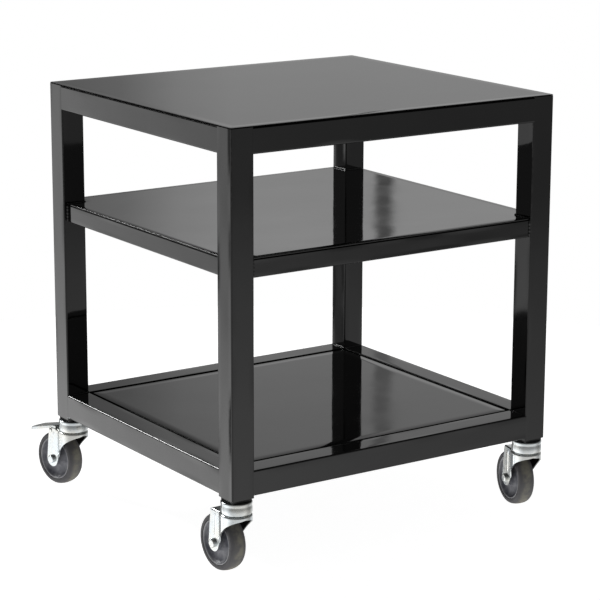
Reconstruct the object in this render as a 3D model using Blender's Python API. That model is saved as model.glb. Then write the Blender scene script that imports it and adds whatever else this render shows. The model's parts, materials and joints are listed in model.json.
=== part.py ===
"""Rolling utility cart: a welded square-tube frame with three shelves on four swivel casters.

Metres, +Z up, the floor at z = 0. The front of the cart faces -Y and its left side faces -X.
The plan origin is the middle of the whole footprint, with the casters trailing backwards.
"""

import math

import bmesh
import bpy
import numpy as np

# Overall sizes of the welded frame.
CART_WIDTH = 0.530
CART_DEPTH = 0.485
CART_HEIGHT = 0.607
SHELF_TOP = 0.4345

# Square tube of the legs and of the top and bottom rails.
TUBE = 0.035
TUBE_WALL = 0.002
TUBE_CORNER = 0.0022

# Smaller square tube under the middle shelf, set in from the faces of the legs.
SHELF_TUBE = 0.025
SHELF_TUBE_WALL = 0.0015
SHELF_TUBE_CORNER = 0.0018
SHELF_SIDE_INSET = 0.006
SHELF_FRONT_INSET = 0.003

# Sheet metal.
SHEET = 0.0015
SHEET_CORNER = 0.0030
TRAY_RECESS = 0.0008
TRAY_GROOVE = 0.0030
TRAY_BEND = 0.0022
TRAY_FLANGE = 0.018

# Feet of the legs.
LEG_FOOT = 0.003
INSERT_SHOWN = 0.004
INSERT_DEPTH = 0.022

# Wheels of the casters.
WHEEL_RADIUS = 0.040
TYRE_WIDTH = 0.0244
TYRE_THICKNESS = 0.0085
TRAIL = 0.032

# Forks and swivel heads.
HEAD_RADIUS = 0.0215
HEAD_HEIGHT = 0.0182
CROWN_SHEET = 0.0025
CROWN_SHORT = 0.0015
NOSE_DROP = 0.0046
WHEEL_ROOM = 0.0053
WHEEL_SIDE_ROOM = 0.0012
PLATE_SHEET = 0.0020
PLATE_TAIL = 0.0171
BOSS_RADIUS = 0.0115

# Stems, sleeves, bolts and nuts.
STEM_RADIUS = 0.0050
STEM_FLANGE = 0.0080
SLEEVE_RADIUS = 0.0060
BOLT_RADIUS = 0.0040
BOLT_HEAD_RADIUS = 0.0062
BOLT_HEAD = 0.0042
NUT_RADIUS = 0.0072
NUT_HEIGHT = 0.0050

# Brake pedal of the two back casters.
PEDAL_REACH = 0.0860
PEDAL_WIDTH = 0.0280
PEDAL_SHEET = 0.0020
PEDAL_SLOPE = math.radians(14.0)
PEDAL_OFF_HEAD = 0.0035
PEDAL_PIN_BEHIND = 0.0100
PEDAL_PIN_DROP = 0.0036
PEDAL_EAR_RADIUS = 0.0034
PEDAL_RISE = 0.0085
PIN_RADIUS = 0.0020

# Room left between pieces.
GAP = 0.0003
TURNING_GAP = 0.00035
SHEET_GAP = 0.0003

ROUND_STEPS = 24
SMALL_STEPS = 16

# How far a cutting solid runs past the piece it cuts.
REACH = 0.040

# Where each caster stands and how far its fork is turned about the swivel axis, seen from above.
CORNERS = {
    "front_left": (-1, -1, math.radians(2.3), False),
    "front_right": (1, -1, math.radians(-11.9), False),
    "rear_left": (-1, 1, math.radians(11.9), True),
    "rear_right": (1, 1, math.radians(-11.9), True),
}

HUB_RADIUS = WHEEL_RADIUS - TYRE_THICKNESS
CROWN_TOP = 2 * WHEEL_RADIUS + WHEEL_ROOM + CROWN_SHEET
CROWN_BACK = HEAD_RADIUS - CROWN_SHORT
NOSE_BOTTOM = CROWN_TOP - NOSE_DROP
PLATE_SPREAD = TYRE_WIDTH / 2 + WHEEL_SIDE_ROOM + PLATE_SHEET
PLATE_BACK = HEAD_RADIUS + PLATE_TAIL
CASTER_HEIGHT = CROWN_TOP + HEAD_HEIGHT
PEDAL_FRONT = HEAD_RADIUS + PEDAL_OFF_HEAD
PEDAL_PIN_Y = PEDAL_FRONT + PEDAL_PIN_BEHIND
PEDAL_PIN_Z = CROWN_TOP - PEDAL_PIN_DROP
BEHIND_FRAME = PEDAL_REACH - TUBE / 2
FRAME_Y = -BEHIND_FRAME / 2
LEG_X = (CART_WIDTH - TUBE) / 2
LEG_Y = (CART_DEPTH - TUBE) / 2
LEG_BOTTOM = CASTER_HEIGHT + INSERT_SHOWN
RAIL_BOTTOM = LEG_BOTTOM + LEG_FOOT
RAIL_TOP = CART_HEIGHT - SHEET - SHEET_GAP


def clear_scene():
    """Removes whatever the scene starts with."""
    for obj in list(bpy.data.objects):
        bpy.data.objects.remove(obj, do_unlink=True)


def new_material(name, colour, roughness, metallic):
    """A plain Principled material."""
    material = bpy.data.materials.new(name)
    material.use_nodes = True
    shader = material.node_tree.nodes["Principled BSDF"]
    shader.inputs["Base Color"].default_value = (*colour, 1.0)
    shader.inputs["Roughness"].default_value = roughness
    shader.inputs["Metallic"].default_value = metallic
    return material


def circle(radius, z, steps):
    """A ring of points round the Z axis."""
    angles = 2 * np.pi * np.arange(steps) / steps
    return np.column_stack([radius * np.cos(angles), radius * np.sin(angles), np.full(steps, z)])


def hexagon(radius, z):
    """A ring of twelve points: the corners of a hexagon and the middles of its sides."""
    reach = np.where(np.arange(12) % 2 == 0, radius, radius * math.cos(math.pi / 6))
    return circle(1.0, z, 12) * np.column_stack([reach, reach, np.ones(12)])


def rounded_rectangle(width, depth, corner, z, corner_steps=2):
    """A ring of points round a rectangle whose corners are rounded."""
    points = []
    for quarter in range(4):
        start = quarter * math.pi / 2
        side_x = 1 if quarter in (0, 3) else -1
        side_y = 1 if quarter in (0, 1) else -1
        for step in range(corner_steps + 1):
            angle = start + step * math.pi / 2 / corner_steps
            x = side_x * (width / 2 - corner) + corner * math.cos(angle)
            y = side_y * (depth / 2 - corner) + corner * math.sin(angle)
            points.append((x, y, z))
    return np.array(points)


def skin(rings, looped):
    """Points and faces of the surface through a row of rings.

    A looped row closes on itself, as the wall of a tube does. Any other row gets a lid at each end.
    """
    count = len(rings[0])
    faces = []
    for ring in range(len(rings) if looped else len(rings) - 1):
        here = ring * count
        there = (ring + 1) % len(rings) * count
        for step in range(count):
            after = (step + 1) % count
            faces.append((here + step, here + after, there + after, there + step))
    if not looped:
        faces.append(tuple(range(count)))
        faces.append(tuple(range((len(rings) - 1) * count, len(rings) * count)))
    return np.vstack(rings), faces


def turned(profile, steps, looped=True):
    """The surface of (radius, height) points turned about the Z axis."""
    return skin([circle(radius, z, steps) for radius, z in profile], looped)


def along_x(surface):
    """The same surface with its Z axis laid along X."""
    points, faces = surface
    return points[:, [2, 0, 1]], faces


def prism(outline, low, high):
    """A solid over a flat (x, y) outline, between two heights."""
    flat = np.array(outline)
    rings = [np.column_stack([flat, np.full(len(flat), z)]) for z in (low, high)]
    return skin(rings, False)


def side_prism(outline, low, high):
    """A solid over a flat (y, z) outline, between two places along X."""
    points, faces = prism(outline, low, high)
    return points[:, [2, 0, 1]], faces


def cross_rod(radius, y, z):
    """A long round bar laid across the caster at one place of its side view."""
    points, faces = along_x(turned([(radius, -REACH), (radius, REACH)], SMALL_STEPS, False))
    return points + [0, y, z], faces


def new_mesh(name, surface):
    """A mesh whose faces all point outwards, with smooth round sides and sharp edges."""
    points, faces = surface
    mesh = bpy.data.meshes.new(name)
    mesh.from_pydata([tuple(point) for point in points], [], faces)
    work = bmesh.new()
    work.from_mesh(mesh)
    bmesh.ops.recalc_face_normals(work, faces=work.faces)
    work.to_mesh(mesh)
    work.free()
    return mesh


def smooth(mesh):
    """Shades the round sides smooth and leaves the edges sharp."""
    mesh.shade_smooth()
    mesh.set_sharp_from_angle(angle=math.radians(32))


def place(name, mesh, material, parent, location=(0, 0, 0), rotation=(0, 0, 0)):
    """Puts one piece into the scene under its parent."""
    smooth(mesh)
    piece = bpy.data.objects.new(name, mesh)
    bpy.context.collection.objects.link(piece)
    if not mesh.materials:
        mesh.materials.append(material)
    piece.parent = parent
    piece.location = location
    piece.rotation_euler = rotation
    return piece


def empty(name, parent, location, turn=0.0):
    """A bare axis to hang moving pieces on."""
    axis = bpy.data.objects.new(name, None)
    bpy.context.collection.objects.link(axis)
    axis.parent = parent
    axis.location = location
    axis.rotation_euler = (0, 0, turn)
    return axis


def helper(name, surface):
    """A hidden solid used for cutting."""
    cutter = bpy.data.objects.new(name, new_mesh(name, surface))
    bpy.context.collection.objects.link(cutter)
    cutter.hide_render = True
    cutter.display_type = "WIRE"
    return cutter


def carve(name, surface, steps):
    """The mesh left after a row of (operation, solid) steps on a starting solid."""
    work = helper(name + "_blank", surface)
    cutters = []
    for number, (operation, solid) in enumerate(steps):
        cutter = helper(f"{name}_cutter_{number}", solid)
        cut = work.modifiers.new(f"cut_{number}", "BOOLEAN")
        cut.operation = operation
        cut.solver = "EXACT"
        cut.object = cutter
        cutters.append(cutter)
    graph = bpy.context.evaluated_depsgraph_get()
    mesh = bpy.data.meshes.new_from_object(work.evaluated_get(graph))
    mesh.name = name
    for used in [work, *cutters]:
        bpy.data.objects.remove(used, do_unlink=True)
    return mesh


def tube_mesh(name, length, size, wall, corner):
    """A square tube along Z, open at both ends, with its middle at the origin."""
    inside = max(corner - wall, 0.0004)
    rings = [
        rounded_rectangle(size, size, corner, -length / 2),
        rounded_rectangle(size, size, corner, length / 2),
        rounded_rectangle(size - 2 * wall, size - 2 * wall, inside, length / 2),
        rounded_rectangle(size - 2 * wall, size - 2 * wall, inside, -length / 2),
    ]
    return new_mesh(name, skin(rings, True))


def build_legs(frame, paint):
    """Four full-height legs."""
    height = RAIL_TOP - LEG_BOTTOM
    for corner, (side_x, side_y, _, _) in CORNERS.items():
        mesh = tube_mesh("leg", height, TUBE, TUBE_WALL, TUBE_CORNER)
        place(
            f"leg_{corner}",
            mesh,
            paint,
            frame,
            (side_x * LEG_X, side_y * LEG_Y, LEG_BOTTOM + height / 2),
        )


def build_rails(frame, paint, level, size, wall, corner, centre_z, inset_x, inset_y):
    """Four rails between the legs at one height."""
    across = CART_WIDTH - 2 * TUBE - 2 * GAP
    deep = CART_DEPTH - 2 * TUBE - 2 * GAP
    rail_x = CART_WIDTH / 2 - inset_x - size / 2
    rail_y = CART_DEPTH / 2 - inset_y - size / 2
    quarter = math.pi / 2
    runs = {
        "front": (across, (0, -rail_y, centre_z), (0, quarter, 0)),
        "back": (across, (0, rail_y, centre_z), (0, quarter, 0)),
        "left": (deep, (-rail_x, 0, centre_z), (quarter, 0, 0)),
        "right": (deep, (rail_x, 0, centre_z), (quarter, 0, 0)),
    }
    for side, (length, location, rotation) in runs.items():
        mesh = tube_mesh("rail", length, size, wall, corner)
        place(f"{level}_rail_{side}", mesh, paint, frame, location, rotation)


def build_top_panel(frame, paint):
    """A flat sheet over the top rails and the legs."""
    rings = [
        rounded_rectangle(CART_WIDTH, CART_DEPTH, SHEET_CORNER, z, 3)
        for z in (CART_HEIGHT - SHEET, CART_HEIGHT)
    ]
    place("top_panel", new_mesh("top_panel", skin(rings, False)), paint, frame)


def build_shelf_panel(frame, paint):
    """A flat sheet over the shelf rails, notched round the legs."""
    far_x = CART_WIDTH / 2 - SHELF_SIDE_INSET
    far_y = CART_DEPTH / 2 - SHELF_FRONT_INSET
    near_x = CART_WIDTH / 2 - TUBE - GAP
    near_y = CART_DEPTH / 2 - TUBE - GAP
    quarter = [(far_x, near_y), (near_x, near_y), (near_x, far_y)]
    outline = quarter + [(-x, y) for x, y in quarter[::-1]]
    outline += [(-x, -y) for x, y in quarter] + [(x, -y) for x, y in quarter[::-1]]
    mesh = new_mesh("shelf_panel", prism(outline, SHELF_TOP - SHEET, SHELF_TOP))
    place("shelf_panel", mesh, paint, frame)


def build_bottom_panel(frame, paint):
    """A sheet with its four edges folded down, sunk between the bottom rails."""
    width = CART_WIDTH - 2 * TUBE - 2 * TRAY_GROOVE
    depth = CART_DEPTH - 2 * TUBE - 2 * TRAY_GROOVE
    top = RAIL_BOTTOM + TUBE - TRAY_RECESS
    bottom = top - TRAY_FLANGE
    outside = []
    for step in range(4):
        angle = step * math.pi / 6
        inward = 2 * TRAY_BEND * (1 - math.sin(angle))
        z = top - TRAY_BEND * (1 - math.cos(angle))
        outside.append(rounded_rectangle(width - inward, depth - inward, TRAY_BEND, z))
    inner_width = width - 2 * SHEET
    inner_depth = depth - 2 * SHEET
    inner_corner = TRAY_BEND - SHEET
    rings = outside + [
        rounded_rectangle(width, depth, TRAY_BEND, bottom),
        rounded_rectangle(inner_width, inner_depth, inner_corner, bottom),
        rounded_rectangle(inner_width, inner_depth, inner_corner, top - TRAY_BEND),
        rounded_rectangle(
            inner_width - inner_corner, inner_depth - inner_corner, inner_corner, top - SHEET
        ),
    ]
    place("bottom_panel", new_mesh("bottom_panel", skin(rings, False)), paint, frame)


def build_insert(corner, frame, plastic):
    """A square plug in the foot of a leg, bored for the stem of the caster."""
    side_x, side_y, _, _ = CORNERS[corner]
    size = TUBE - 2 * TUBE_WALL - 2 * GAP
    top = LEG_BOTTOM + INSERT_DEPTH
    bore = STEM_RADIUS + TURNING_GAP
    rings = [
        rounded_rectangle(size, size, 0.0012, CASTER_HEIGHT, 3),
        rounded_rectangle(size, size, 0.0012, top, 3),
        circle(bore, top, SMALL_STEPS),
        circle(bore, CASTER_HEIGHT, SMALL_STEPS),
    ]
    mesh = new_mesh("leg_insert", skin(rings, True))
    place(f"leg_insert_{corner}", mesh, plastic, frame, (side_x * LEG_X, side_y * LEG_Y, 0))


def head_mesh():
    """The pressed swivel head: a flange, a neck and the swelling over the balls."""
    low = CROWN_TOP + GAP
    high = CASTER_HEIGHT - GAP
    bore = STEM_RADIUS + TURNING_GAP
    tall = high - low
    profile = [
        (bore, low),
        (HEAD_RADIUS * 0.90, low),
        (HEAD_RADIUS * 0.985, low + tall * 0.17),
        (HEAD_RADIUS, low + tall * 0.40),
        (HEAD_RADIUS * 0.955, low + tall * 0.64),
        (HEAD_RADIUS * 0.95, low + tall * 0.76),
        (HEAD_RADIUS * 0.99, low + tall * 0.84),
        (HEAD_RADIUS * 0.98, high - tall * 0.04),
        (HEAD_RADIUS * 0.94, high),
        (bore, high),
    ]
    return new_mesh("swivel_head", turned(profile, ROUND_STEPS))


def stem_mesh():
    """The stem that carries the caster: a flange under the crown and a shank into the leg."""
    under = CROWN_TOP - CROWN_SHEET - GAP
    top = LEG_BOTTOM + INSERT_DEPTH - 0.002
    profile = [
        (STEM_FLANGE - 0.0006, under - 0.0024),
        (STEM_FLANGE, under - 0.0018),
        (STEM_FLANGE, under),
        (STEM_RADIUS, under),
        (STEM_RADIUS, top - 0.001),
        (STEM_RADIUS - 0.001, top),
    ]
    return new_mesh("stem", turned(profile, SMALL_STEPS, False))


def plate_outline(spread, nose, back, steps):
    """Plan of the fork: straight sides that widen forwards into a half-round nose."""
    front = [
        (nose * math.cos(angle), -nose * math.sin(angle))
        for angle in [math.pi * step / steps for step in range(steps + 1)]
    ]
    return front + [(-spread, CROWN_BACK), (-spread, back), (spread, back), (spread, CROWN_BACK)]


def side_outline():
    """Side view of the fork: the crown, the straps down to the axle and the sweep of the nose."""
    boss = (TRAIL, WHEEL_RADIUS)
    points = [(-HEAD_RADIUS - 0.002, CROWN_TOP + 0.002), (PLATE_BACK - 0.0008, CROWN_TOP + 0.002)]
    points.append((PLATE_BACK, CROWN_TOP - 0.001))
    for step in range(9):
        angle = math.radians(12 - step * 22.5)
        points.append(
            (boss[0] + BOSS_RADIUS * math.cos(angle), boss[1] + BOSS_RADIUS * math.sin(angle))
        )
    start = np.array(points[-1])
    middle = np.array([boss[0] - 2.1 * BOSS_RADIUS, CROWN_TOP - 0.0175])
    end = np.array([-HEAD_RADIUS - 0.002, NOSE_BOTTOM])
    for step in range(1, 8):
        along = step / 7
        point = (1 - along) ** 2 * start + 2 * along * (1 - along) * middle + along**2 * end
        points.append(tuple(point))
    return points


def fork_mesh(braked):
    """The pressed fork, with holes for the stem, the axle bolt and, if braked, the pedal pin."""
    inner = plate_outline(
        PLATE_SPREAD - PLATE_SHEET, HEAD_RADIUS - PLATE_SHEET, PLATE_BACK + 0.020, 12
    )
    across = PLATE_SPREAD - PLATE_SHEET
    behind = PLATE_BACK + 0.020
    pocket = [(-across, CROWN_BACK), (across, CROWN_BACK), (across, behind), (-across, behind)]
    stem_bore = [(STEM_RADIUS + TURNING_GAP, z) for z in (CROWN_TOP - 0.020, CROWN_TOP + 0.012)]
    steps = [
        ("INTERSECT", side_prism(side_outline(), -REACH, REACH)),
        ("DIFFERENCE", prism(inner, WHEEL_RADIUS / 4, CROWN_TOP - CROWN_SHEET)),
        ("DIFFERENCE", prism(pocket, CROWN_TOP - 0.020, CROWN_TOP + 0.012)),
        ("DIFFERENCE", turned(stem_bore, SMALL_STEPS, False)),
        ("DIFFERENCE", cross_rod(BOLT_RADIUS + TURNING_GAP, TRAIL, WHEEL_RADIUS)),
    ]
    if braked:
        steps.append(("DIFFERENCE", cross_rod(PIN_RADIUS + GAP, PEDAL_PIN_Y, PEDAL_PIN_Z)))
    plan = plate_outline(PLATE_SPREAD, HEAD_RADIUS, PLATE_BACK + 0.012, 12)
    blank = prism(plan, WHEEL_RADIUS / 2, CROWN_TOP)
    return carve("fork", blank, steps)


def tyre_mesh():
    """A grey tyre with a crowned tread and rounded shoulders."""
    half = TYRE_WIDTH / 2
    inner = HUB_RADIUS + GAP
    outer = WHEEL_RADIUS
    left = [
        (inner, -half * 0.86),
        (inner + (outer - inner) * 0.12, -half * 0.95),
        (inner + (outer - inner) * 0.45, -half),
        (inner + (outer - inner) * 0.78, -half * 0.86),
        (inner + (outer - inner) * 0.95, -half * 0.52),
    ]
    right = [(radius, -x) for radius, x in left[::-1]]
    return new_mesh("tyre", along_x(turned(left + [(outer, 0)] + right, ROUND_STEPS)))


def hub_mesh():
    """The wheel centre: a boss on the axle, a thin web and a rim under the tyre."""
    bore = SLEEVE_RADIUS + TURNING_GAP
    boss = PLATE_SPREAD - PLATE_SHEET - 0.0009
    rim = TYRE_WIDTH / 2 * 0.88
    left = [
        (HUB_RADIUS, -rim),
        (HUB_RADIUS - 0.0026, -rim),
        (HUB_RADIUS - 0.0052, -rim * 0.52),
        (SLEEVE_RADIUS + 0.0055, -rim * 0.58),
        (SLEEVE_RADIUS + 0.0042, -boss),
        (bore, -boss),
    ]
    right = [(radius, -x) for radius, x in left[::-1]]
    return new_mesh("hub", along_x(turned(left + right, ROUND_STEPS)))


def sleeve_mesh():
    """The steel spacer the wheel turns on, clamped between the plates of the fork."""
    half = PLATE_SPREAD - PLATE_SHEET - GAP
    bore = BOLT_RADIUS + TURNING_GAP
    profile = [(bore, -half), (SLEEVE_RADIUS, -half), (SLEEVE_RADIUS, half), (bore, half)]
    return new_mesh("sleeve", along_x(turned(profile, SMALL_STEPS)))


def bolt_mesh():
    """The axle bolt, with a low domed head on the left and its end just past the nut."""
    seat = -PLATE_SPREAD - GAP
    end = PLATE_SPREAD + GAP + NUT_HEIGHT + 0.001
    profile = [
        (BOLT_HEAD_RADIUS * 0.50, seat - BOLT_HEAD),
        (BOLT_HEAD_RADIUS * 0.86, seat - BOLT_HEAD * 0.72),
        (BOLT_HEAD_RADIUS, seat - BOLT_HEAD * 0.25),
        (BOLT_HEAD_RADIUS, seat),
        (BOLT_RADIUS, seat),
        (BOLT_RADIUS, end - 0.0008),
        (BOLT_RADIUS - 0.0008, end),
    ]
    return new_mesh("axle_bolt", along_x(turned(profile, SMALL_STEPS, False)))


def nut_mesh():
    """The hexagon nut on the end of the axle bolt."""
    low = PLATE_SPREAD + GAP
    high = low + NUT_HEIGHT
    bore = BOLT_RADIUS + TURNING_GAP
    rings = [
        hexagon(NUT_RADIUS, low),
        hexagon(NUT_RADIUS, high),
        circle(bore, high, 12),
        circle(bore, low, 12),
    ]
    return new_mesh("axle_nut", along_x(skin(rings, True)))


def pedal_mesh():
    """The brake pedal, with its pivot at the origin: a sloping blade, two ears and a shoe."""
    half = PEDAL_WIDTH / 2
    ear = PLATE_SPREAD - PLATE_SHEET - 0.0005
    front = PEDAL_FRONT - PEDAL_PIN_Y
    back = PEDAL_REACH - PEDAL_PIN_Y
    fall = math.tan(PEDAL_SLOPE)
    bend = -0.004
    blade = [
        (front, PEDAL_RISE),
        (bend, PEDAL_RISE),
        (back - 0.004, PEDAL_RISE - fall * (back - 0.004 - bend)),
        (back, PEDAL_RISE - fall * (back - bend) - 0.0012),
        (back, PEDAL_RISE - fall * (back - bend) - PEDAL_SHEET - 0.0008),
        (back - 0.004, PEDAL_RISE - fall * (back - 0.004 - bend) - PEDAL_SHEET),
        (bend, PEDAL_RISE - PEDAL_SHEET),
        (front, PEDAL_RISE - PEDAL_SHEET),
    ]
    lobe = [
        (PEDAL_EAR_RADIUS * math.cos(angle), PEDAL_EAR_RADIUS * math.sin(angle))
        for angle in [math.radians(180 + step * 30) for step in range(7)]
    ]
    ears = lobe + [(0.011, PEDAL_RISE - 0.0042), (-0.006, PEDAL_RISE - 0.0008)]
    shoe_back = 0.0145
    shoe = [
        (shoe_back - 0.006, PEDAL_RISE - 0.003),
        (shoe_back - 0.0045, -0.0030),
        (shoe_back, -0.0044),
        (shoe_back + 0.0015, PEDAL_RISE - fall * (shoe_back - bend) - 0.0008),
    ]
    inside = ear - 0.002
    steps = [
        ("UNION", side_prism(ears, -ear, -inside)),
        ("UNION", side_prism(ears, inside, ear)),
        ("UNION", side_prism(shoe, -0.006, 0.006)),
        ("DIFFERENCE", cross_rod(PIN_RADIUS + TURNING_GAP, 0, 0)),
    ]
    return carve("brake_pedal", side_prism(blade, -half, half), steps)


def pin_mesh():
    """The rivet the pedal turns on, headed outside both plates of the fork."""
    seat = PLATE_SPREAD + GAP
    head = PIN_RADIUS + 0.0012
    left = [(head * 0.7, -seat - 0.0012), (head, -seat - 0.0005), (head, -seat), (PIN_RADIUS, -seat)]
    right = [(radius, -x) for radius, x in left[::-1]]
    return new_mesh("pedal_pin", along_x(turned(left + right, SMALL_STEPS, False)))


def build_caster(corner, frame, zinc, rubber, plastic):
    """One swivel caster under one leg."""
    side_x, side_y, turn, braked = CORNERS[corner]
    foot = (side_x * LEG_X, side_y * LEG_Y, 0)
    place(f"swivel_head_{corner}", head_mesh(), zinc, frame, foot)
    place(f"stem_{corner}", stem_mesh(), zinc, frame, foot)
    swivel = empty(f"swivel_axis_{corner}", frame, foot, turn)
    axle = empty(f"axle_axis_{corner}", swivel, (0, TRAIL, WHEEL_RADIUS))
    place(f"fork_{corner}", fork_mesh(braked), zinc, swivel)
    place(f"tyre_{corner}", tyre_mesh(), rubber, axle)
    place(f"hub_{corner}", hub_mesh(), plastic, axle)
    place(f"sleeve_{corner}", sleeve_mesh(), zinc, axle)
    place(f"axle_bolt_{corner}", bolt_mesh(), zinc, axle)
    place(f"axle_nut_{corner}", nut_mesh(), zinc, axle)
    if braked:
        pivot = empty(f"pedal_axis_{corner}", swivel, (0, PEDAL_PIN_Y, PEDAL_PIN_Z))
        place(f"brake_pedal_{corner}", pedal_mesh(), zinc, pivot)
        place(f"pedal_pin_{corner}", pin_mesh(), zinc, pivot)


def build_cart():
    """Builds the whole cart in order, from the frame down to the casters."""
    clear_scene()
    paint = new_material("black_paint", (0.012, 0.012, 0.013), 0.28, 0.0)
    zinc = new_material("zinc_plate", (0.72, 0.75, 0.78), 0.25, 1.0)
    rubber = new_material("grey_rubber", (0.16, 0.16, 0.17), 0.62, 0.0)
    hub = new_material("grey_plastic", (0.18, 0.19, 0.22), 0.45, 0.0)
    insert = new_material("black_plastic", (0.010, 0.010, 0.011), 0.55, 0.0)
    frame = empty("frame_centre", None, (0, FRAME_Y, 0))
    build_legs(frame, paint)
    tube = (TUBE, TUBE_WALL, TUBE_CORNER)
    build_rails(frame, paint, "top", *tube, RAIL_TOP - TUBE / 2, 0, 0)
    build_rails(frame, paint, "bottom", *tube, RAIL_BOTTOM + TUBE / 2, 0, 0)
    shelf_tube = (SHELF_TUBE, SHELF_TUBE_WALL, SHELF_TUBE_CORNER)
    shelf_z = SHELF_TOP - SHEET - SHEET_GAP - SHELF_TUBE / 2
    insets = (SHELF_SIDE_INSET, SHELF_FRONT_INSET)
    build_rails(frame, paint, "shelf", *shelf_tube, shelf_z, *insets)
    build_top_panel(frame, paint)
    build_shelf_panel(frame, paint)
    build_bottom_panel(frame, paint)
    for corner in CORNERS:
        build_insert(corner, frame, insert)
        build_caster(corner, frame, zinc, rubber, hub)


build_cart()
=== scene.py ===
"""Rolling utility cart: the finished look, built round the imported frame.

Metres, +Z up, floor at z = 0, front of the cart towards -Y. Every surface is worked out as a grid of
points: a section carried along a line, a profile turned about an axis, or rings set inwards from a rim.
"""

import json
import logging
import math
from dataclasses import dataclass, field, replace
from enum import Enum

import bmesh
import bpy
import numpy as np
from mathutils import Matrix, Vector


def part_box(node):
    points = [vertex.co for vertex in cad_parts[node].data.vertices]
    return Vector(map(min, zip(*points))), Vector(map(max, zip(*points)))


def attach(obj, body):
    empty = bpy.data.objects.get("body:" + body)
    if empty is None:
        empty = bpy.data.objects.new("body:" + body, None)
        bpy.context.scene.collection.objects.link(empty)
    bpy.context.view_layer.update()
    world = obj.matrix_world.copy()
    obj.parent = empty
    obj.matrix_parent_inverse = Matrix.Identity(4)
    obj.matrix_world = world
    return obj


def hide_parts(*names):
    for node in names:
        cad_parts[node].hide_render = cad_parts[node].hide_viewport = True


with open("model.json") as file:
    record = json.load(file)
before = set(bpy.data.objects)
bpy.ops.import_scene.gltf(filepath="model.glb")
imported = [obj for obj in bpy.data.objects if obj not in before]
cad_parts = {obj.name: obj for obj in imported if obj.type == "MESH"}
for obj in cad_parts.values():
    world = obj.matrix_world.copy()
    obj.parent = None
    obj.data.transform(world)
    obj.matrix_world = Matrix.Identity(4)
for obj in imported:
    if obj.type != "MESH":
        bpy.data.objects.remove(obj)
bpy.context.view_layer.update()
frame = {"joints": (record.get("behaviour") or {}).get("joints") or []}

LOG = logging.getLogger("cart")
# the edge mark: 0 to 1 for real wear, below 0 for painted shade in the gaps beside the sheets
EDGE = "edge_wear_and_gap_shade"
TAU = 2 * math.pi
MERGE = 0.000002


class Slot(Enum):
    """The record's material slots."""

    PAINT = "black_paint"
    ZINC = "zinc_plate"
    RUBBER = "grey_rubber"
    HUB = "grey_plastic"
    PLUG = "black_plastic"


class Along(Enum):
    """The axis that a bar or a turned piece lies along, as the order that its columns are read in."""

    X = (2, 0, 1)
    Y = (1, 2, 0)
    Z = (0, 1, 2)


# ---------------------------------------------------------------------------------------------------
# Node boards: short ways to wire a procedural finish.


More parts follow.
